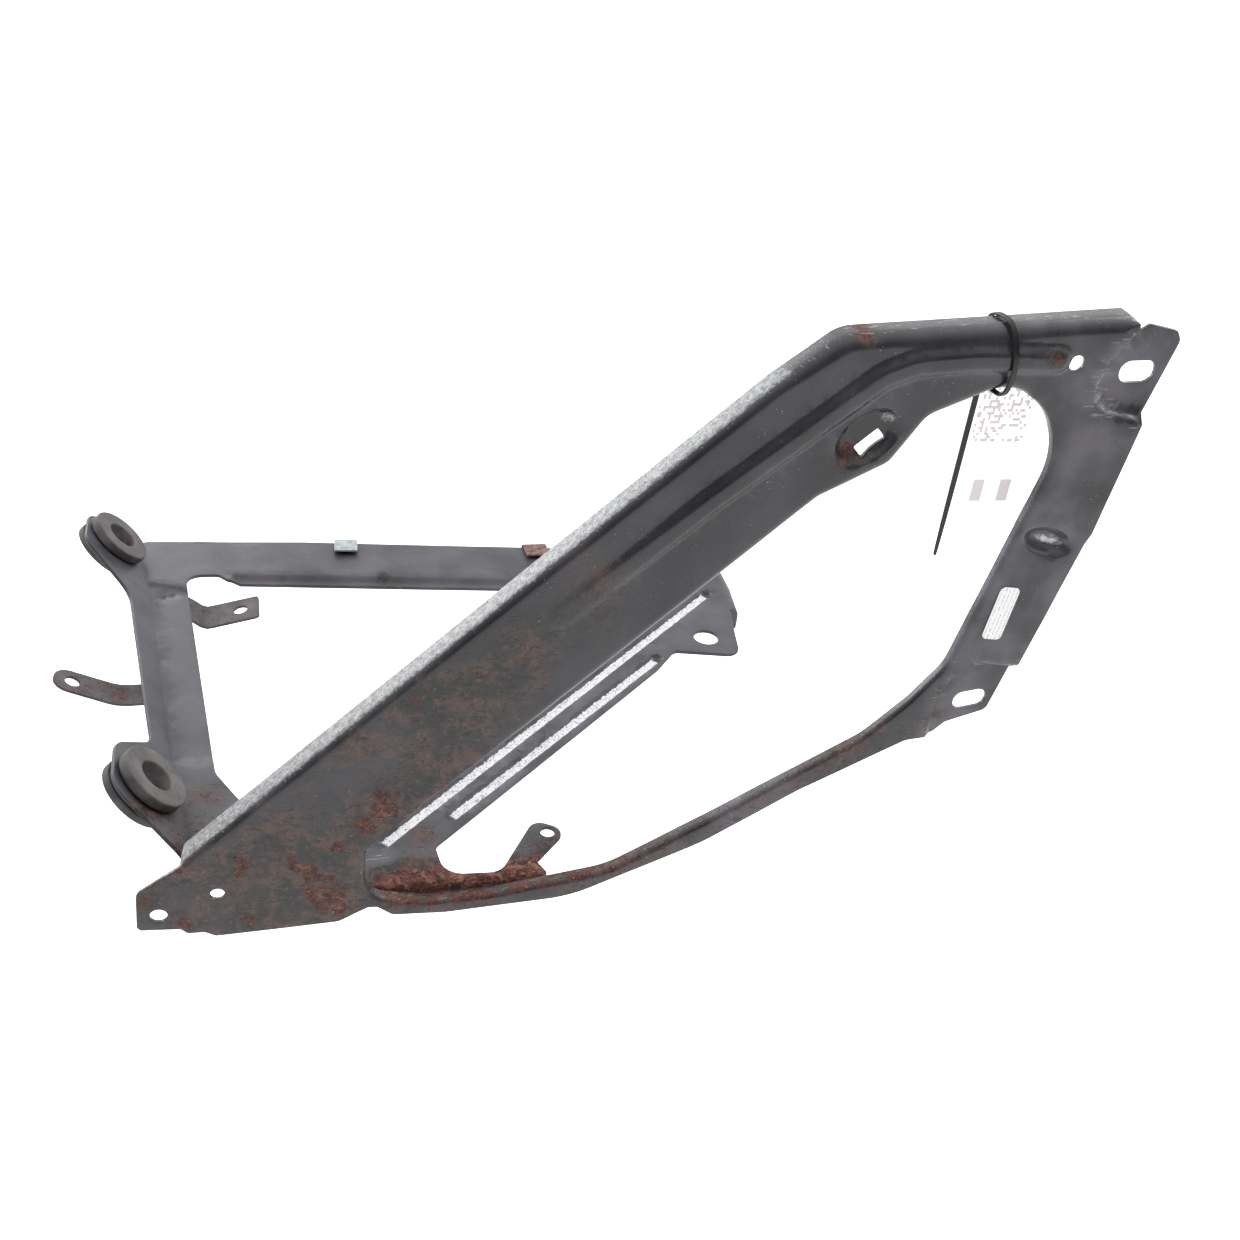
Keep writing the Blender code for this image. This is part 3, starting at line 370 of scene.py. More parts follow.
def ring_outline():
    flat = (SHEET, 0.5)
    diagonal = (12.5, 4.5)
    top = (12.5, 6.0)
    return rounded_loop([
        (-8.4, 11.6, 5.0, *flat),           # lower left tab
        (-9.2, -8.6, 2.6, *flat),
        (8.4, -9.6, 2.2, *flat),
        (11.0, -12.4, 2.2, *flat),
        (18.0, -12.4, 3.0, *flat),
        (22.5, -15.1, 2.4, *flat),
        (74.0, -12.3, 7.0, *flat),
        (86.4, -5.2, 3.0, *flat),           # notch in the lower edge
        (90.4, -5.4, 3.0, *flat),
        (97.0, -10.6, 4.0, *flat),
        (120.0, -11.4, 30.0, *flat),
        (176.0, -7.4, 60.0, *flat),
        (234.0, 19.4, 60.0, *flat),
        (276.0, 47.0, 40.0, *flat),
        (321.0, 72.0, 10.0, *flat),
        (334.6, 73.6, 3.0, *flat),          # lower right pad
        (340.1, 79.0, 3.0, *flat),
        (358.3, 85.0, 4.5, *flat),
        (363.3, 107.6, 2.2, *flat),
        (366.0, 111.0, 2.2, *flat),
        (379.0, 171.6, 5.0, *flat),         # outer edge of the leg, past the dart
        (381.0, 176.6, 5.0, *flat),
        (387.6, 226.0, 6.0, *flat),
        (387.5, 230.6, 2.4, *flat),         # upper right pad
        (394.3, 261.3, 3.5, *flat),
        (391.8, 265.2, 3.0, *flat),
        (379.1, 267.6, 2.4, *flat),
        (375.3, 264.8, 2.0, *flat),
        (372.4, 268.6, 1.6, *flat),
        (370.2, 270.6, 1.6, *top),          # rear edge of the top flange
        (254.8, 260.6, 16.0, *top),
        (230.0, 240.2, 20.0, *diagonal),
        (11.4, 27.4, 2.6, *diagonal),       # foot of the diagonal flange
        (9.4, 25.0, 2.2, *flat),
    ])


def ring_opening():
    inner = (7.0, 4.5)
    leg = (5.0, 2.2)
    rail = (6.0, 2.6)
    return rounded_loop([
        (85.0, 27.6, 8.0, *rail),
        (85.0, 0.0, 13.0, *rail),
        (112.0, -4.6, 25.0, *rail),
        (141.0, -3.2, 40.0, *rail),
        (192.0, 5.6, 40.0, *rail),
        (236.5, 32.4, 80.0, *rail),
        (301.0, 74.4, 30.0, *leg),
        (319.0, 93.5, 20.0, *leg),
        (331.4, 111.0, 22.0, *leg),
        (353.6, 211.0, 34.0, *leg),
        (345.0, 232.0, 30.0, *leg),
        (325.5, 243.0, 20.0, *inner),
        (294.6, 228.6, 10.0, *inner),
        (283.0, 208.6, 9.0, *inner),
        (256.4, 193.8, 9.0, *inner),
        (166.0, 104.4, 90.0, *inner),
    ])


bead_path = [(341.6, 253.5), (307.0, 253.2), (284.0, 250.8), (271.5, 245.6), (258.0, 234.0), (210.5, 192.6),
             (158.0, 142.0)]
recess = ((270.8, 220.4), (15.5, 10.5), 43.0)
dart = ((362.0, 173.0), (14.5, 7.0), -16.0)
upper_pad = [(372.6, 275.0), (372.4, 266.4), (363.6, 253.6), (360.4, 242.6), (362.6, 234.0), (370.0, 230.4),
             (388.0, 226.8), (402.0, 226.8), (402.0, 275.0)]
lower_pad = [(368.0, 110.8), (350.5, 112.6), (343.8, 111.6), (335.0, 105.4), (331.2, 98.0), (329.6, 87.0),
             (330.2, 66.0), (372.0, 66.0)]


def oval_depth(a, b, centre, half_size, angle, rim):
    """1 on the floor of an oval hollow, 0 outside it; rim is the share taken by its wall."""
    cos_a, sin_a = math.cos(math.radians(angle)), math.sin(math.radians(angle))
    u = ((a - centre[0]) * cos_a + (b - centre[1]) * sin_a) / half_size[0]
    v = (-(a - centre[0]) * sin_a + (b - centre[1]) * cos_a) / half_size[1]
    return 1.0 - soft_step(np.hypot(u, v), 1.0 - rim, 1.0)


def ring_relief(a, b):
    """Height of the ring's face over its blank: the bead stands proud, pads and hollows are pushed back."""
    away, along, _ = distance_to_path(bead_path, a, b)
    bead = 2.8 * (1.0 - soft_step(along, 150.0, 268.0)) * (1.0 - soft_step(away, 2.0, 6.8))
    pads = 3.0 * (region_depth(upper_pad, a, b, 2.9) + region_depth(lower_pad, a, b, 2.9))
    hollow = 4.4 * oval_depth(a, b, *recess, 0.34) + 4.6 * oval_depth(a, b, *dart, 0.6)
    return bead - pads - hollow + ripple(a, b, 21.0, 0.07)


# Rusty places on the ring as (across, up, radius, amount).
gusset_scabs = [(66.7, 6.1, 9.5, 0.62), (57.8, 21.1, 7.0, 0.70), (84.0, 41.4, 7.0, 0.80),
                (73.4, 31.0, 6.0, 0.7), (74.4, -2.3, 7.0, 0.7), (-3.7, 8.6, 4.5, 0.9),
                (11.5, -6.1, 5.0, 0.9), (36.7, -8.9, 5.0, 0.7), (33.5, 24.5, 7.0, 0.55),
                (47.8, 36.9, 7.0, 0.5), (92.0, 49.0, 5.0, 0.7), (11.0, 23.0, 4.0, 0.8),
                (262.7, 261.9, 4.0, 1.3), (339.3, 255.1, 3.6, 1.3), (265.0, 212.6, 6.0, 1.0),
                (333.0, 99.0, 4.5, 0.8), (332.1, 85.5, 6.0, 0.5), (92.2, 54.9, 9.0, 0.4)]
brown_patches = [(104.5, 105.0, 13.0, 0.50), (78.8, 86.9, 8.0, 0.5), (128.6, 104.0, 20.0, 0.4),
                 (143.1, 127.7, 18.0, 0.4), (116.0, 74.3, 18.0, 0.35), (172.6, 150.0, 20.0, 0.3),
                 (55.0, 10.0, 40.0, 0.25), (307.7, 77.5, 16.0, 0.42), (287.0, 63.2, 14.0, 0.3)]


def ring_finish(a, b, share):
    """Rust, polish and dust over the ring; the polish channel also carries painted highlights on the pad
    edges, the dart and the recess.
    """
    low = 1.0 - soft_step(0.72 * a + 0.70 * b, 20.0, 260.0)
    leg = soft_step(a, 318.0, 335.0)
    rail = (1.0 - soft_step(b, 50.0, 90.0)) * soft_step(a, 84.0, 96.0)
    rust = 0.27 * low + spots(a, b, gusset_scabs) + spots(a, b, brown_patches) + 0.22 * rail
    dust = 0.14 + 0.40 * leg + 0.8 * rail + 0.10 * low
    polish = np.zeros(np.shape(a))
    if share > 0.0:
        outer = distance_to_path([(9.4, 25.0), (230.0, 240.2)], a, b)[0] < 9.0
        top = (b > 248.0) & (a > 236.0)
        polish = np.where(outer, 0.85, np.where(top, 0.3, 0.22)) * soft_step(share, 0.45, 0.95)
        polish = np.where(rail > 0.5, 0.14, polish)
        rust = np.where(outer, 0.5 * rust, rust)
    if share > 0.0:
        rust = rust + 0.5 * rail * (1.0 - soft_step(a, 190.0, 240.0))
    if share < 0.0:
        rust = rust * 0.8 + 0.12
        dust = dust + 0.2
    if share == 0.0:
        # Painted highlights, carried in the polish channel: thin bright lines along both pad edges, and a
        # brighter arc where the upper pad's lower-left step faces up.
        upper_rim, upper_along, upper_side = distance_to_path(upper_pad[:7], a, b)
        lower_rim = distance_to_path(lower_pad[:7], a, b)[0]
        polish = polish + 0.34 * (1.0 - soft_step(np.minimum(upper_rim, lower_rim), 0.4, 1.8))
        turn_low = soft_step(upper_along, 22.0, 34.0) * (1.0 - soft_step(upper_along, 54.0, 60.0))
        pad_step_highlight = (1.0 - soft_step(np.abs(upper_rim - 2.2), 0.3, 1.4)) * (upper_side > 0.0)
        polish = polish + 0.75 * turn_low * pad_step_highlight
        # Painted highlight: a bright lens inside the dart, drawn as near-white bare steel.
        dart_a, dart_b = dart[0]
        polish = polish + 1.5 * oval_depth(a, b, (dart_a + 1.5, dart_b - 1.0), (8.5, 2.4), dart[2], 0.5)
        # Painted highlight: a bright spot on the upper right wall of the recess round the slot.
        polish = polish + 0.9 * spots(a, b, [(recess[0][0] + 8.0, recess[0][1] + 7.0, 3.0, 1.0)])
    return np.clip(rust, 0.0, 1.3), polish, np.clip(dust, 0.0, 1.0)


def feed(node_input, value):
    """Sets an input to a number or colour, or links it when it is given an output."""
    if isinstance(value, bpy.types.NodeSocket):
        node_input.id_data.links.new(value, node_input)
    else:
        node_input.default_value = value


def new_node(kind, *values):
    """A node in the tree that the first linked value belongs to."""
    tree = next(value.id_data for value in values if isinstance(value, bpy.types.NodeSocket))
    return tree.nodes.new(kind)


def calc(operation, first, second=0.0):
    node = new_node("ShaderNodeMath", first, second)
    node.operation = operation
    feed(node.inputs[0], first)
    feed(node.inputs[1], second)
    return node.outputs[0]


def plus(first, *rest):
    for value in rest:
        first = calc("ADD", first, value)
    return first


def times(first, *rest):
    for value in rest:
        first = calc("MULTIPLY", first, value)
    return first


def mix(factor, first, second):
    """Blends two colours."""
    node = new_node("ShaderNodeMix", factor)
    node.data_type = "RGBA"
    feed(node.inputs[0], factor)
    for index, value in ((6, first), (7, second)):
        feed(node.inputs[index], value if isinstance(value, bpy.types.NodeSocket) else (*value, 1.0))
    return node.outputs[2]


def spread(value, low, high, out_low=0.0, out_high=1.0):
    """Smooth step of a value between two limits."""
    node = new_node("ShaderNodeMapRange", value)
    node.interpolation_type = "SMOOTHSTEP"
    for index, part in enumerate((value, low, high, out_low, out_high)):
        feed(node.inputs[index], part)
    return node.outputs[0]


def grain(place, scale, detail=4.0, rough=0.55, distortion=0.0):
    node = new_node("ShaderNodeTexNoise", place)
    feed(node.inputs["Vector"], place)
    for label, value in (("Scale", scale), ("Detail", detail), ("Roughness", rough),
                         ("Distortion", distortion)):
        node.inputs[label].default_value = value
    return node.outputs["Fac"]


def stretched(place, turn, scale):
    node = new_node("ShaderNodeMapping", place)
    feed(node.inputs["Vector"], place)
    node.inputs["Rotation"].default_value = turn
    node.inputs["Scale"].default_value = scale
    return node.outputs[0]


weathered = bpy.data.node_groups.new("weathered paint", "ShaderNodeTree")
for kind, direction, labels in (("Vector", "INPUT", ("Place",)),
                                ("Float", "INPUT", ("Rust", "Polish", "Dust", "Gloss Roughness")),
                                ("Color", "INPUT", ("Paint", "Dusty Paint")),
                                ("Float", "OUTPUT", ("Roughness", "Metallic", "Height")),
                                ("Color", "OUTPUT", ("Color",))):
    for label in labels:
        weathered.interface.new_socket(name=label, in_out=direction, socket_type="NodeSocket" + kind)
given = weathered.nodes.new("NodeGroupInput").outputs
out = weathered.nodes.new("NodeGroupOutput").inputs
spot, rusted, polish_and_highlight = given["Place"], given["Rust"], given["Polish"]

# Patterns from wide to fine; flakes and streaks lie along the diagonal.
cloud = grain(spot, 38.0, 3.0, 0.5)
blotch = grain(spot, 110.0, 7.0, 0.68, 0.35)
clump = grain(spot, 150.0, 2.5, 0.5, 0.6)
crumb = grain(spot, 430.0, 5.0, 0.7, 0.3)
speck = grain(spot, 1300.0, 2.0, 0.6)
flake = grain(stretched(spot, (0.0, 0.76, 0.0), (240.0, 300.0, 420.0)), 1.0, 5.0, 0.6, 1.2)
streak = grain(stretched(spot, (0.0, 0.75, 0.0), (90.0, 700.0, 1500.0)), 1.0, 3.0)

# Dust over paint, then the brown film with dark flakes.
dusting = times(given["Dust"], spread(cloud, 0.3, 0.75))
paint = mix(dusting, given["Paint"], given["Dusty Paint"])
paint = mix(spread(speck, 0.66, 0.74, 0.0, 0.25), paint, given["Dusty Paint"])
film_level = plus(times(rusted, 0.75), times(plus(cloud, blotch), 0.5))
film = spread(film_level, 0.56, 0.92)
film_tint = mix(spread(blotch, 0.42, 0.60), (0.017, 0.013, 0.014), (0.092, 0.052, 0.042))
film_tint = mix(spread(crumb, 0.54, 0.68, 0.0, 0.6), film_tint, (0.17, 0.100, 0.078))
surface = mix(times(film, 0.95), paint, film_tint)
scale_mark = times(spread(flake, 0.57, 0.62), spread(rusted, 0.08, 0.4))
surface = mix(times(scale_mark, 0.85), surface, (0.010, 0.008, 0.008))

# Raised dark red scabs where the rust is strong, with paler flakes and orange specks on them.
scab_level = plus(times(rusted, 0.42), plus(times(clump, 0.62), times(crumb, 0.20)))
scab = spread(scab_level, 0.775, 0.790)
scab_tint = mix(spread(crumb, 0.42, 0.56), (0.030, 0.008, 0.007), (0.105, 0.030, 0.021))
deep = spread(rusted, 0.90, 1.15)
scab_flake = times(spread(flake, 0.48, 0.60), plus(times(deep, 0.7), 0.15))
scab_tint = mix(scab_flake, scab_tint, (0.25, 0.115, 0.080))
scab_tint = mix(spread(speck, 0.64, 0.72), scab_tint, (0.46, 0.17, 0.07))
surface = mix(scab, surface, scab_tint)

# Bare silvery steel where the paint has worn through, with scratches, pits and chips. The same layer also
# draws the painted highlights that reach it through the polish input, near white where that input passes 1.
bare_and_highlight_level = plus(times(polish_and_highlight, 0.55), plus(times(crumb, 0.35), times(blotch, 0.25)))
bare_and_highlight = spread(bare_and_highlight_level, 0.48, 0.72)
bare_and_highlight_tint = mix(spread(crumb, 0.35, 0.65), (0.15, 0.155, 0.16), (0.40, 0.41, 0.42))
bare_and_highlight_tint = mix(spread(polish_and_highlight, 1.0, 1.5), bare_and_highlight_tint, (0.80, 0.80, 0.83))
surface = mix(bare_and_highlight, surface, bare_and_highlight_tint)
scratch = times(spread(streak, 0.62, 0.66), spread(polish_and_highlight, 0.08, 0.2))
surface = mix(times(scratch, 0.6), surface, (0.38, 0.38, 0.39))
pit = times(spread(speck, 0.56, 0.62), spread(polish_and_highlight, 0.2, 0.6))
surface = mix(times(pit, 0.7), surface, (0.050, 0.047, 0.047))
chip = times(spread(speck, 0.70, 0.73), spread(blotch, 0.50, 0.60))
surface = mix(chip, surface, (0.48, 0.46, 0.44))
feed(out["Color"], surface)

rough = plus(given["Gloss Roughness"], times(dusting, 0.18), spread(blotch, 0.3, 0.8, 0.0, 0.08),
             times(film, 0.22))
feed(out["Roughness"], calc("MAXIMUM", calc("MAXIMUM", rough, times(scab, 0.85)), times(bare_and_highlight, 0.5)))
feed(out["Metallic"], times(bare_and_highlight, 0.2))
feed(out["Height"], plus(times(scab, plus(0.5, crumb)), times(film, crumb, 0.35), times(streak, 0.05),
                         times(pit, -0.3), times(scale_mark, -0.5), times(cloud, 0.35)))


def start_material(name):
    """An empty material, its Principled shader and its object coordinates."""
    made = bpy.data.materials.new(name)
    made.use_nodes = True
    nodes = made.node_tree.nodes
    return made, nodes["Principled BSDF"], nodes.new("ShaderNodeTexCoord").outputs["Object"]


def bumped(shader, height, strength, distance):
    node = new_node("ShaderNodeBump", height)
    node.inputs["Strength"].default_value = strength
    node.inputs["Distance"].default_value = distance
    feed(node.inputs["Height"], height)
    feed(shader.inputs["Normal"], node.outputs["Normal"])


def painted_steel(name, paint_colour, dusty_colour, gloss, coat, rust=None, dust=None):
    """Worn black paint over steel. Rust and dust come from the mesh unless they are given as numbers."""
    made, shader, place = start_material(name)
    worn = new_node("ShaderNodeGroup", place)
    worn.node_tree = weathered
    for label, fixed in (("Rust", rust), ("Polish", 0.0 if rust is not None else None), ("Dust", dust)):
        if fixed is None:
            read = new_node("ShaderNodeAttribute", place)
            read.attribute_name = label.lower()
            fixed = read.outputs["Fac"]
        feed(worn.inputs[label], fixed)
    for label, value in (("Place", place), ("Paint", (*paint_colour, 1.0)),
                         ("Dusty Paint", (*dusty_colour, 1.0)), ("Gloss Roughness", gloss)):
        feed(worn.inputs[label], value)
    for label, target in (("Color", "Base Color"), ("Roughness", "Roughness"), ("Metallic", "Metallic")):
        feed(shader.inputs[target], worn.outputs[label])
    bumped(shader, worn.outputs["Height"], 0.7, 0.00035)
    shader.inputs["Coat Weight"].default_value = coat
    shader.inputs["Coat Roughness"].default_value = 0.18
    return made


ring_paint = painted_steel("ring_paint", (0.018, 0.017, 0.022), (0.215, 0.200, 0.240), 0.23, 0.35)
ring_holes = [
    ring_opening(),
    slot_hole(379.4, 248.0, 15.4, 9.2, 3.0, 4.6, SHEET),
    slot_hole(348.6, 91.2, 15.4, 9.2, 10.0, 4.6, SHEET),
    slot_hole(273.6, 216.6, 11.6, 5.0, 44.0, 0.6, SHEET),
    round_hole(0.0, -1.0, 3.6, SHEET),
    round_hole(24.0, 8.9, 3.0, SHEET),
    round_hole(350.2, 252.2, 3.2, SHEET),
]
ring_rows = oval_rows(*recess, (1.0, 0.9, 0.8, 0.7, 0.6, 0.5), 36)
ring_rows += oval_rows(*dart, (1.0, 0.85, 0.7, 0.55, 0.4, 0.25, 0.12), 28)
for pad_edge in (upper_pad, lower_pad):
    ring_rows += loop_rows(pad_edge, (0.0, 0.6, 1.2, 1.8, 2.4, 3.0), 3.0)
ring_rows += path_rows(bead_path, (0.0, 1.4, 2.6, 3.8, 5.0, 6.2, 7.2), ROW_STEP)
ring_sheet = pressed_sheet(ring_outline(), ring_holes, ring_relief, lambda a, b, h: (a, -h, b), SHEET,
                           ring_finish, ring_rows)
stand("upright_ring", ring_sheet, ring_paint, "ring_panel")

# ================================================================ level frame
# The level triangle is a second 2 mm stamping, spot-welded under the ring: a post whose outer strip is
# turned up at 45 degrees for the rubber mounts, a rear rail, a brace with two pressed grooves, a holed ear
# and a floor. Its thinner, duller black paint is dusty, and the floor by the weld is deeply rusted.
FOLD_ANGLE = math.radians(45.0)
FOLD_RADIUS = 5.0
FOLD_LEAN = 0.12
FOLD_SIDE = (1.0 / math.hypot(1.0, FOLD_LEAN), FOLD_LEAN / math.hypot(1.0, FOLD_LEAN))
grommet_centres = {"upper_grommet": (-38.3, 285.8), "lower_grommet": (-12.0, 68.8)}


def fold_x(b):
    return 16.9 - FOLD_LEAN * b


def place_rear(a, b, h):
    """Lays the blank level and turns up everything to the left of the fold."""
    past = -(a - fold_x(b)) * FOLD_SIDE[0]
    if past <= 0.0:
        return (a, b, h)
    foot_a, foot_b = a + past * FOLD_SIDE[0], b + past * FOLD_SIDE[1]
    arc = FOLD_RADIUS * FOLD_ANGLE
    turn = min(past, arc) / FOLD_RADIUS
    flat = max(past - arc, 0.0)
    out_run = FOLD_RADIUS * math.sin(turn) + flat * math.cos(FOLD_ANGLE) - h * math.sin(turn)
    rise = FOLD_RADIUS * (1.0 - math.cos(turn)) + flat * math.sin(FOLD_ANGLE) + h * math.cos(turn)
    return (foot_a - out_run * FOLD_SIDE[0], foot_b - out_run * FOLD_SIDE[1], rise)


def rear_outline():
    flat = (SHEET, 0.5)
    end = (15.0, 7.0)
    lip = (6.0, 2.5)
    return rounded_loop([
        (14.0, 2.6, 2.4, *flat),
        (14.0, 28.0, 4.0, *flat),
        (6.6, 35.4, 3.0, *flat),            # left edge of the turned-up strip
        (-9.0, 43.0, 12.0, *flat),
        (-30.6, 53.0, 15.0, *flat),         # lower grommet ear
        (-30.2, 87.0, 16.0, *flat),
        (-9.4, 107.0, 12.0, *flat),
        (-25.4, 241.0, 22.0, *flat),
        (-57.2, 266.0, 15.0, *flat),        # upper grommet ear
        (-56.8, 305.0, 17.0, *flat),
        (-27.0, 305.6, 5.0, *flat),
        (-17.0, 310.6, 4.0, *flat),
        (72.0, 307.2, 0.0, *flat),          # rear edge of the rail
        (203.0, 297.2, 0.0, *flat),
        (296.0, 290.2, 2.0, *flat),
        (308.0, 289.2, 4.0, 8.0, 5.0),
        (325.6, 286.0, 9.0, *end),          # turned-down right end
        (325.4, 248.0, 20.0, *end),
        (322.8, 222.4, 2.0, *end),
        (315.6, 220.6, 2.0, *flat),
        (308.4, 173.4, 8.0, *flat),         # ear with the large hole
        (271.0, 179.8, 5.0, *flat),
        (257.0, 162.6, 30.0, *flat),
        (119.0, 30.8, 5.0, *flat),          # cut-out beside the floor
        (121.0, 12.4, 11.0, *flat),
        (146.0, 11.4, 9.0, *flat),
        (166.6, 44.8, 6.0, *flat),          # small tab on the floor
        (181.4, 36.4, 6.0, *flat),
        (163.4, 16.4, 2.2, *flat),
        (167.6, 6.9, 2.4, *flat),
        (161.0, 6.9, 0.0, *lip),            # turned-down front edge of the floor
        (86.0, 6.9, 0.0, *lip),
        (80.0, 6.9, 3.0, *flat),
        (76.0, 2.6, 3.0, *flat),
    ])


def rear_opening():
    flat = (SHEET, 0.5)
    return rounded_loop([
        (5.2, 271.6, 11.0, *flat),
        (23.0, 271.8, 4.5, *flat),
        (28.6, 265.4, 4.5, *flat),
        (190.0, 253.2, 0.0, *flat),
        (286.0, 246.4, 14.0, *flat),
        (100.0, 60.0, 16.0, *flat),
        (36.0, 66.0, 16.0, *flat),
        (22.4, 92.0, 16.0, *flat),
    ])


brace_grooves = [[(306.0, 239.0), (96.0, 35.6)], [(259.0, 173.6), (129.1, 51.4)]]
rail_lip = [(30.0, 262.0), (30.0, 272.4), (60.0, 270.4), (190.0, 261.2), (292.0, 254.0), (292.0, 236.0),
            (190.0, 243.0), (60.0, 252.0)]
post_panel = [(1.6, 101.0), (27.0, 99.0), (27.0, 259.0), (6.4, 259.0), (-5.0, 262.6), (-17.0, 266.0)]
dimples = [(-6.6, 250.6), (-1.6, 252.6)]


def rear_relief(a, b):
    """Height of the level frame's face over its blank; embossed parts are pushed down."""
    depth = 2.6 * region_depth(rail_lip, a, b, 4.4) + 1.6 * region_depth(post_panel, a, b, 3.0)
    for groove in brace_grooves:
        depth = depth + 2.2 * (1.0 - soft_step(distance_to_path(groove, a, b)[0], 1.8, 4.0))
    for dimple in dimples:
        depth = depth + 1.2 * (1.0 - soft_step(np.hypot(a - dimple[0], b - dimple[1]), 0.5, 2.8))
    return -depth + ripple(a, b, 24.0, 0.05)


floor_scabs = [(101.0, 9.0, 8.0, 0.5), (119.1, 12.0, 8.0, 0.4), (135.0, 9.0, 7.0, 0.4),
               (150.7, 13.0, 7.0, 0.6), (167.1, 14.0, 7.0, 0.6), (112.5, 40.0, 7.0, 0.45),
               (104.0, 24.0, 6.0, 0.25), (-3.8, 60.0, 5.0, 1.0), (-12.0, 52.0, 6.0, 0.8),
               (116.6, 266.3, 4.5, 0.8), (15.7, 72.5, 12.0, 0.26), (11.6, 50.0, 12.0, 0.32),
               (24.0, 84.0, 9.0, 0.2), (40.0, 40.0, 16.0, 0.36), (169.5, 28.0, 9.0, 0.45),
               (10.0, 34.0, 7.0, 0.7)]


def rear_finish(a, b, share):
    """Rust, polish and dust over the level frame."""
    floor = (1.0 - soft_step(b, 30.0, 66.0)) * 0.13
    front_band = (1.0 - soft_step(b, 15.0, 24.0)) * soft_step(a, 82.0, 92.0)
    front_band = front_band * (1.0 - soft_step(a, 172.0, 184.0))
    rust = floor + 0.75 * front_band + spots(a, b, floor_scabs) + 0.05
    rust = rust - spots(a, b, [(91.0, 31.0, 9.0, 0.7)])
    polish = np.zeros(np.shape(a))
    dust = 0.75 + 1.8 * floor
    if share >= 0.0:
        polish = np.maximum(polish, 0.5 * spots(a, b, [(91.0, 31.0, 9.0, 0.7)]))
    if share > 0.0:
        polish = np.maximum(polish, 0.12)
    if share < 0.0:
        rust = rust * 0.8 + 0.1
    return np.clip(rust, 0.0, 1.3), polish, dust


rear_paint = painted_steel("frame_paint", (0.038, 0.036, 0.044), (0.112, 0.107, 0.127), 0.37, 0.0)

# The brace's grooves are rubbed to bright steel in strips with frayed edges.
STRIP_HALF = 0.0029
STRIP_EDGE = 0.0032
STRIP_FRAY = 0.0016
STRIP_FADE = 0.002
BRIGHT_STEEL = 1.6
worn_nodes = rear_paint.node_tree.nodes
worn_place = worn_nodes["Texture Coordinate"].outputs["Object"]
worn_input = worn_nodes["Group"].inputs["Polish"]
worn_level = worn_input.links[0].from_socket
frayed = times(grain(worn_place, 500.0, 3.0), STRIP_FRAY)
for (far_a, far_b), (near_a, near_b) in brace_grooves:
    groove_run = Vector((far_a - near_a, far_b - near_b, 0.0))
    groove_start = Vector((near_a - DATUM[0], near_b - DATUM[1], 0.0)) * MM
    groove_reach = groove_run.length * MM
    groove_run.normalize()
    groove_axes = []
    for direction in (groove_run, Vector((-groove_run.y, groove_run.x, 0.0))):
        project = new_node("ShaderNodeVectorMath", worn_place)
        project.operation = "DOT_PRODUCT"
        feed(project.inputs[0], worn_place)
        feed(project.inputs[1], direction)
        groove_axes.append(calc("SUBTRACT", project.outputs["Value"], direction.dot(groove_start)))
    along, across = groove_axes
    strip = times(spread(plus(calc("ABSOLUTE", across), frayed), STRIP_HALF, STRIP_EDGE, BRIGHT_STEEL, 0.0),
                  spread(along, 0.0, STRIP_FADE),
                  spread(along, groove_reach - STRIP_FADE, groove_reach, 1.0, 0.0))
    worn_level = calc("MAXIMUM", worn_level, strip)
feed(worn_input, worn_level)

rear_holes = [rear_opening(), round_hole(293.2, 192.3, 7.1, SHEET), round_hole(171.8, 35.8, 3.4, SHEET),
              round_hole(23.7, 10.4, 4.9, SHEET)]
for ear_centre in grommet_centres.values():
    rear_holes.append(round_hole(*ear_centre, 12.4, SHEET, 56))
rear_rows = []
for share_of_bend in np.linspace(0.0, 1.0, 7):
    bend_shift = share_of_bend * FOLD_RADIUS * FOLD_ANGLE
    rear_rows += [(fold_x(b) - bend_shift / FOLD_SIDE[0], b) for b in np.arange(30.0, 312.0, 4.0)]
for groove_line in brace_grooves:
    rear_rows += path_rows(groove_line, (0.0, 1.5, 1.9, 2.3, 2.9, 3.5, 4.1), 2.4)
rear_rows += loop_rows(rail_lip, (0.0, 0.9, 1.8, 2.7, 3.6, 4.4), ROW_STEP)
rear_rows += loop_rows(post_panel, (0.0, 0.9, 1.8, 2.7), ROW_STEP)
for dimple_centre in dimples:
    rear_rows += oval_rows(dimple_centre, (2.8, 2.8), 0.0, (1.0, 0.7, 0.4), 12)
rear_sheet = pressed_sheet(rear_outline(), rear_holes, rear_relief, place_rear, SHEET,
                           rear_finish, rear_rows)
stand("level_frame", rear_sheet, rear_paint, "rear_frame", 30.0)

# ================================================================ hose and clip straps
# Two strips of 1.6 mm steel, bent and drilled, spot-welded under the post and painted with it. The left one
# has a round end and carries a hose clip; the right one is square and has picked up light rust.
strap_paint = painted_steel("strap_paint", (0.062, 0.058, 0.064), (0.190, 0.176, 0.188), 0.45, 0.0,
                            rust=0.28, dust=0.7)
for strap in ("post_clip_tab", "left_hose_tab"):
    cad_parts[strap].material_slots[0].material = strap_paint

# ================================================================ rubber mounts
# Each mount is a moulded rubber bush pressed into its ear, with a deep groove round its waist, rounded
# rims and a plain bore. The rubber is matt, greyed with road dust and slightly brown in the groove.
rubber, rubber_shader, rubber_place = start_material("dusty_rubber")
soft_cloud = grain(rubber_place, 70.0, 4.0, 0.6)
soft_speck = grain(rubber_place, 900.0, 3.0, 0.6)
rubber_colour = mix(spread(soft_cloud, 0.35, 0.7), (0.066, 0.061, 0.062),
                    (0.160, 0.146, 0.142))
rubber_colour = mix(spread(soft_speck, 0.62, 0.72, 0.0, 0.5), rubber_colour,
                    (0.24, 0.22, 0.21))
feed(rubber_shader.inputs["Base Color"], rubber_colour)
feed(rubber_shader.inputs["Roughness"], spread(soft_cloud, 0.3, 0.7, 0.55, 0.85))
bumped(rubber_shader, soft_speck, 0.35, 0.0003)


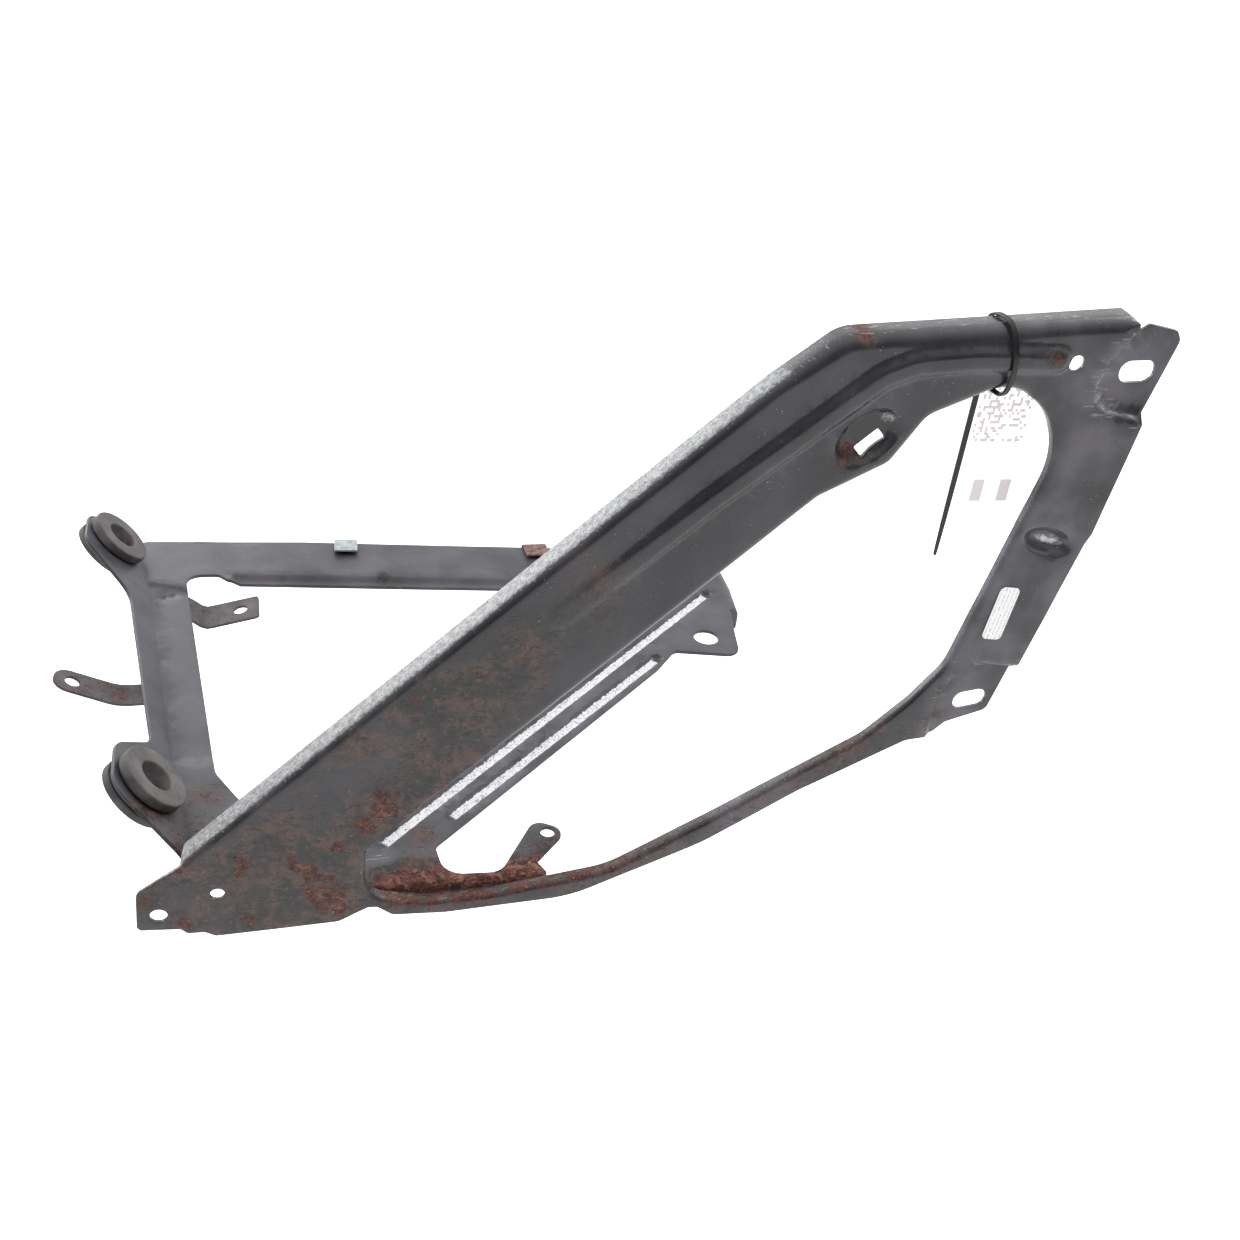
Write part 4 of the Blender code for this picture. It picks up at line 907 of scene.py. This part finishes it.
def rounded_profile(corners, radius, steps=4):
    """Rounds the corners of a closed (radius, height) profile."""
    result = []
    for i, here in enumerate(corners):
        before, after = np.array(corners[i - 1]), np.array(corners[(i + 1) % len(corners)])
        here = np.array(here)
        cut_in = min(radius, 0.45 * np.linalg.norm(before - here))
        cut_out = min(radius, 0.45 * np.linalg.norm(after - here))
        begin = here + (before - here) / np.linalg.norm(before - here) * cut_in
        finish = here + (after - here) / np.linalg.norm(after - here) * cut_out
        for k in range(steps + 1):
            t = k / steps
            result.append((1 - t) ** 2 * begin + 2 * t * (1 - t) * here + t * t * finish)
    return result


def turned(profile, centre, axis, segments=96):
    """Turns a closed (radius, height) profile round an axis, with a trace of moulding unevenness."""
    axis = np.array(axis) / np.linalg.norm(axis)
    side = np.cross(axis, (0.0, 1.0, 0.0))
    side = side / np.linalg.norm(side)
    other = np.cross(axis, side)
    builder = bmesh.new()
    rings = []
    for k in range(segments):
        turn = 2.0 * math.pi * k / segments
        radial = side * math.cos(turn) + other * math.sin(turn)
        uneven = 1.0 + 0.004 * math.sin(3.0 * turn + 0.7)
        ring = []
        for r, h in profile:
            spot = np.array(centre) + radial * r * uneven + axis * h
            ring.append(builder.verts.new([(spot[i] - DATUM[i]) * MM for i in range(3)]))
        rings.append(ring)
    for k in range(segments):
        here, ahead = rings[k], rings[(k + 1) % segments]
        for i in range(len(profile)):
            j = (i + 1) % len(profile)
            builder.faces.new((here[i], ahead[i], ahead[j], here[j]))
    bmesh.ops.recalc_face_normals(builder, faces=builder.faces[:])
    return builder


bush_profile = rounded_profile([(8.2, -8.2), (18.4, -8.2), (18.4, -4.0), (12.0, -4.0), (12.0, 1.6),
                                (17.3, 1.6), (17.3, 7.0), (8.2, 7.0)], 1.1)
for bush_name, (bush_a, bush_b) in grommet_centres.items():
    bush_centre = np.array(place_rear(bush_a, bush_b, 0.0))
    bush_axis = np.array(place_rear(bush_a, bush_b, 1.0)) - bush_centre + np.array([0.0, -0.05, 0.0])
    stand(bush_name + "_bush", turned(bush_profile, bush_centre, bush_axis), rubber, bush_name, 50.0)

# ================================================================ clip nuts
# Two U-shaped spring-steel clips pushed over the rear edge of the rail. One keeps its pale blue-grey zinc
# plating; the other has rusted to a dull pinkish brown.
zinc, zinc_shader, zinc_place = start_material("dull_zinc")
bloom = grain(zinc_place, 260.0, 5.0, 0.6)
zinc_colour = mix(spread(bloom, 0.35, 0.68), (0.27, 0.315, 0.33), (0.46, 0.50, 0.51))
feed(zinc_shader.inputs["Base Color"], zinc_colour)
feed(zinc_shader.inputs["Roughness"], spread(bloom, 0.3, 0.7, 0.35, 0.6))
zinc_shader.inputs["Metallic"].default_value = 0.55
bumped(zinc_shader, bloom, 0.25, 0.0003)
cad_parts["zinc_clip_nut"].material_slots[0].material = zinc

old_clip, old_shader, old_place = start_material("rusted_zinc")
old_bloom = grain(old_place, 330.0, 5.0, 0.65)
old_colour = mix(spread(old_bloom, 0.38, 0.62), (0.090, 0.040, 0.032), (0.27, 0.165, 0.145))
feed(old_shader.inputs["Base Color"], old_colour)
feed(old_shader.inputs["Roughness"], spread(old_bloom, 0.3, 0.7, 0.6, 0.9))
bumped(old_shader, old_bloom, 0.6, 0.0005)
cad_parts["rusty_clip_nut"].material_slots[0].material = old_clip

# ================================================================ cable tie
# A black nylon tie, 2.6 mm wide, pulled round the top rail. Its ribbed strap passes through the square
# head behind the rail, and the stiff tapered tail hangs straight down.
nylon, nylon_shader, nylon_place = start_material("black_nylon")
nylon_grain = grain(nylon_place, 400.0, 3.0)
feed(nylon_shader.inputs["Base Color"], mix(nylon_grain, (0.006, 0.006, 0.007), (0.014, 0.014, 0.015)))
feed(nylon_shader.inputs["Roughness"], spread(nylon_grain, 0.3, 0.7, 0.25, 0.4))
bumped(nylon_shader, nylon_grain, 0.1, 0.0002)
tie_loop = [
    (317.6, 11.4, 240.8), (317.2, 14.0, 241.3), (316.6, 16.4, 242.2), (315.4, 17.2, 245.0),
    (315.5, 16.7, 256.0), (317.2, 15.2, 264.4), (317.8, 13.0, 266.6), (318.4, 9.6, 267.4),
    (319.0, 5.0, 267.4), (319.4, 2.0, 266.6), (320.0, -0.4, 264.2), (320.8, -2.4, 260.4),
    (321.6, -3.8, 255.0), (322.3, -3.6, 250.0), (322.8, -1.8, 243.0), (322.4, -0.4, 239.6),
    (321.8, 2.0, 238.3), (320.0, 6.0, 238.9), (318.2, 9.6, 239.8),
]
tie_tail = [(317.4, 10.6, 239.0), (317.4, 10.6, 228.0), (317.5, 10.6, 195.0), (317.5, 10.6, 172.0),
            (317.5, 10.6, 161.8)]
tail_widths = (2.4, 2.4, 2.3, 1.9, 1.1)


def through(points, steps):
    """Smooth curve through points."""
    points = [np.array(p, dtype=float) for p in points]
    result = []
    for i in range(len(points) - 1):
        p0, p1, p2 = points[max(i - 1, 0)], points[i], points[i + 1]
        p3 = points[min(i + 2, len(points) - 1)]
        for k in range(steps):
            t = k / steps
            result.append(0.5 * (2 * p1 + (p2 - p0) * t + (2 * p0 - 5 * p1 + 4 * p2 - p3) * t * t
                                 + (3 * p1 - p0 - 3 * p2 + p3) * t ** 3))
    result.append(points[-1])
    return result


def strap_band(builder, path, widths, thickness, across):
    """A flat band with rounded edges along a path."""
    shape = [(-1.0, -0.4), (-0.8, -1.0), (0.8, -1.0), (1.0, -0.4),
             (1.0, 0.4), (0.8, 1.0), (-0.8, 1.0), (-1.0, 0.4)]
    across = np.array(across) / np.linalg.norm(across)
    sections = []
    for i, spot in enumerate(path):
        ahead = path[min(i + 1, len(path) - 1)] - path[max(i - 1, 0)]
        ahead = ahead / np.linalg.norm(ahead)
        wide = across - ahead * float(across @ ahead)
        wide = wide / np.linalg.norm(wide)
        thick = np.cross(ahead, wide)
        section = []
        for u, v in shape:
            p = spot + wide * u * widths[i] / 2.0 + thick * v * thickness / 2.0
            section.append(builder.verts.new([(p[k] - DATUM[k]) * MM for k in range(3)]))
        sections.append(section)
    for here, ahead in zip(sections[:-1], sections[1:]):
        for k in range(len(shape)):
            m = (k + 1) % len(shape)
            builder.faces.new((here[k], ahead[k], ahead[m], here[m]))
    builder.faces.new(sections[0][::-1])
    builder.faces.new(sections[-1])


tie = bmesh.new()
loop_path = through(tie_loop, 6)
strap_band(tie, loop_path, [2.3] * len(loop_path), 1.0, (1.0, 0.0, 0.2))
tail_path = through(tie_tail, 8)
tail_width = np.interp(np.linspace(0.0, 4.0, len(tail_path)), range(5), tail_widths)
strap_band(tie, tail_path, tail_width, 1.1, (1.0, 0.0, 0.0))
head = bmesh.ops.create_cube(tie, size=1.0)
for vert in head["verts"]:
    vert.co = Vector([(middle + value * half - origin) * MM for middle, value, half, origin
                      in zip((317.7, 10.7, 240.3), vert.co, (4.8, 4.4, 5.0), DATUM)])
head_edges = list({edge for vert in head["verts"] for edge in vert.link_edges})
bmesh.ops.bevel(tie, geom=head_edges, offset=0.0005, segments=2, affect="EDGES")
bmesh.ops.recalc_face_normals(tie, faces=tie.faces[:])
stand("nylon_tie", tie, nylon, "cable_tie", 40.0)

# ================================================================ card tag
# A white card on the tie strand behind the opening, free to swing. Only faint grey and pinkish blocks
# stand where a printed tag has its marks.
card, card_shader, card_place = start_material("white_card")


def axes_of(place):
    node = new_node("ShaderNodeSeparateXYZ", place)
    feed(node.inputs[0], place)
    return node.outputs


def between(value, low, high):
    return times(calc("GREATER_THAN", value, low), calc("LESS_THAN", value, high))


card_x, _, card_z = axes_of(card_place)
block_snap = new_node("ShaderNodeVectorMath", card_place)
block_snap.operation = "SNAP"
feed(block_snap.inputs[0], card_place)
feed(block_snap.inputs[1], (0.0011, 1.0, 0.0013))
block_noise = new_node("ShaderNodeTexWhiteNoise", card_place)
feed(block_noise.inputs["Vector"], block_snap.outputs[0])
print_zone = times(between(card_x, -0.057, -0.034), between(card_z, -0.047, -0.022))
block = times(print_zone, calc("GREATER_THAN", block_noise.outputs[0], 0.62))
lower_bars = times(between(card_z, -0.074, -0.064),
                  plus(between(card_x, -0.0505, -0.0455), between(card_x, -0.0385, -0.0335)))
card_mark = times(calc("MAXIMUM", block, lower_bars), 0.75)
fibre = grain(card_place, 700.0, 3.0)
card_colour = mix(card_mark, (0.95, 0.94, 0.94), (0.30, 0.26, 0.27))
feed(card_shader.inputs["Base Color"], card_colour)
# Painted glow: the card emits its own colour, so it reads pure white though the lamps alone would leave it
# greyer.
feed(card_shader.inputs["Emission Color"], card_colour)
card_shader.inputs["Emission Strength"].default_value = 0.85
feed(card_shader.inputs["Roughness"], spread(fibre, 0.3, 0.7, 0.55, 0.7))
bumped(card_shader, fibre, 0.15, 0.0001)
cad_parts["hang_tag"].material_slots[0].material = card

# ================================================================ leg label
# A small rounded white film label stuck to the leg, with faint rows of grey dashes in place of words.
film_label, label_shader, label_place = start_material("white_film")
label_turned = stretched(label_place, (0.0, math.radians(-6.4), 0.0), (1.0, 1.0, 1.0))
label_x = axes_of(label_turned)[0]
dash_rows = calc("GREATER_THAN", calc("SINE", times(label_x, 3400.0)), 0.35)
dash_breaks = grain(stretched(label_turned, (0.0, 0.0, 0.0), (900.0, 1.0, 1500.0)), 1.0, 1.0)
dashes = times(dash_rows, spread(dash_breaks, 0.46, 0.52))
feed(label_shader.inputs["Base Color"], mix(times(dashes, 0.8), (0.93, 0.92, 0.92), (0.30, 0.30, 0.31)))
# Painted glow: a faint white emission makes the film read brighter than the lamps alone make it.
label_shader.inputs["Emission Color"].default_value = (1.0, 0.98, 0.98, 1.0)
label_shader.inputs["Emission Strength"].default_value = 0.22
feed(label_shader.inputs["Roughness"], spread(dash_breaks, 0.3, 0.7, 0.35, 0.5))
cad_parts["label_sticker"].material_slots[0].material = film_label

# ================================================================ floor, lights and camera
# A wide pale floor below the part, one large soft light behind its left shoulder, a weaker one to its
# upper right, and a surround that is bright above and behind but dark in front, low down.
FLOOR_DROP = 0.16
FLOOR_REACH = 15.0
floor_mesh = bpy.data.meshes.new("studio_floor")
floor_level = cad_low[2] - FLOOR_DROP
floor_mesh.from_pydata([(x * FLOOR_REACH, y * FLOOR_REACH, floor_level)
                        for x, y in ((-1, -1), (1, -1), (1, 1), (-1, 1))], [], [(0, 1, 2, 3)])
floor_piece = bpy.data.objects.new("studio_floor", floor_mesh)
bpy.context.collection.objects.link(floor_piece)
floor_material, floor_shader, floor_place = start_material("pale_floor")
floor_shade = mix(grain(floor_place, 3.0, 2.0), (0.55, 0.55, 0.55), (0.60, 0.60, 0.60))
feed(floor_shader.inputs["Base Color"], floor_shade)
floor_shader.inputs["Roughness"].default_value = 0.9
floor_shader.inputs["Emission Color"].default_value = (1.0, 1.0, 1.0, 1.0)
seen_directly = new_node("ShaderNodeLightPath", floor_place).outputs["Is Camera Ray"]
feed(floor_shader.inputs["Emission Strength"], spread(seen_directly, 0.0, 1.0, 0.5, 1.2))
floor_mesh.materials.append(floor_material)

surround = bpy.data.worlds.new("white_surround")
surround.use_nodes = True
surround_nodes = surround.node_tree.nodes
sky_x, sky_y, sky_z = axes_of(surround_nodes.new("ShaderNodeTexCoord").outputs["Generated"])
bright_side = plus(sky_y, times(sky_x, 0.12), times(sky_z, 0.9))
feed(surround_nodes["Background"].inputs["Strength"], spread(bright_side, -0.75, 0.95, 0.12, 1.3))
surround_nodes["Background"].inputs["Color"].default_value = (1.0, 1.0, 1.0, 1.0)
bpy.context.scene.world = surround
bpy.context.scene.view_settings.view_transform = "Standard"

middle_point = (Vector(cad_low) + Vector(cad_high)) / 2.0


def soft_light(name, direction, distance, size, power):
    """A rectangular soft light that faces the middle of the part."""
    light = bpy.data.lights.new(name, "AREA")
    light.shape = "RECTANGLE"
    light.size, light.size_y = size
    light.energy = power
    lamp = bpy.data.objects.new(name, light)
    bpy.context.collection.objects.link(lamp)
    away = Vector(direction).normalized()
    lamp.location = middle_point + away * distance
    lamp.rotation_euler = away.to_track_quat("Z", "Y").to_euler()
    return lamp


soft_light("rear_left_softbox", (-0.5, 0.83, 0.28), 1.6, (1.3, 0.8), 11.0)
soft_light("overhead_softbox", (0.72, 0.1, 0.7), 1.8, (1.1, 0.8), 9.5)

view_axes = Matrix(((0.9689, -0.2206, 0.1118), (0.0276, 0.5454, 0.8377), (-0.2458, -0.8086, 0.5346)))
camera_data = bpy.data.cameras.new("studio_camera")
camera_data.sensor_width = 36.0
camera_data.lens = 42.1
camera_data.clip_start = 0.01
camera_data.clip_end = 60.0
camera = bpy.data.objects.new("studio_camera", camera_data)
bpy.context.collection.objects.link(camera)
camera.matrix_world = Matrix.Translation((-0.3378, -0.4690, 0.1883)) @ view_axes.transposed().to_4x4()
bpy.context.scene.camera = camera
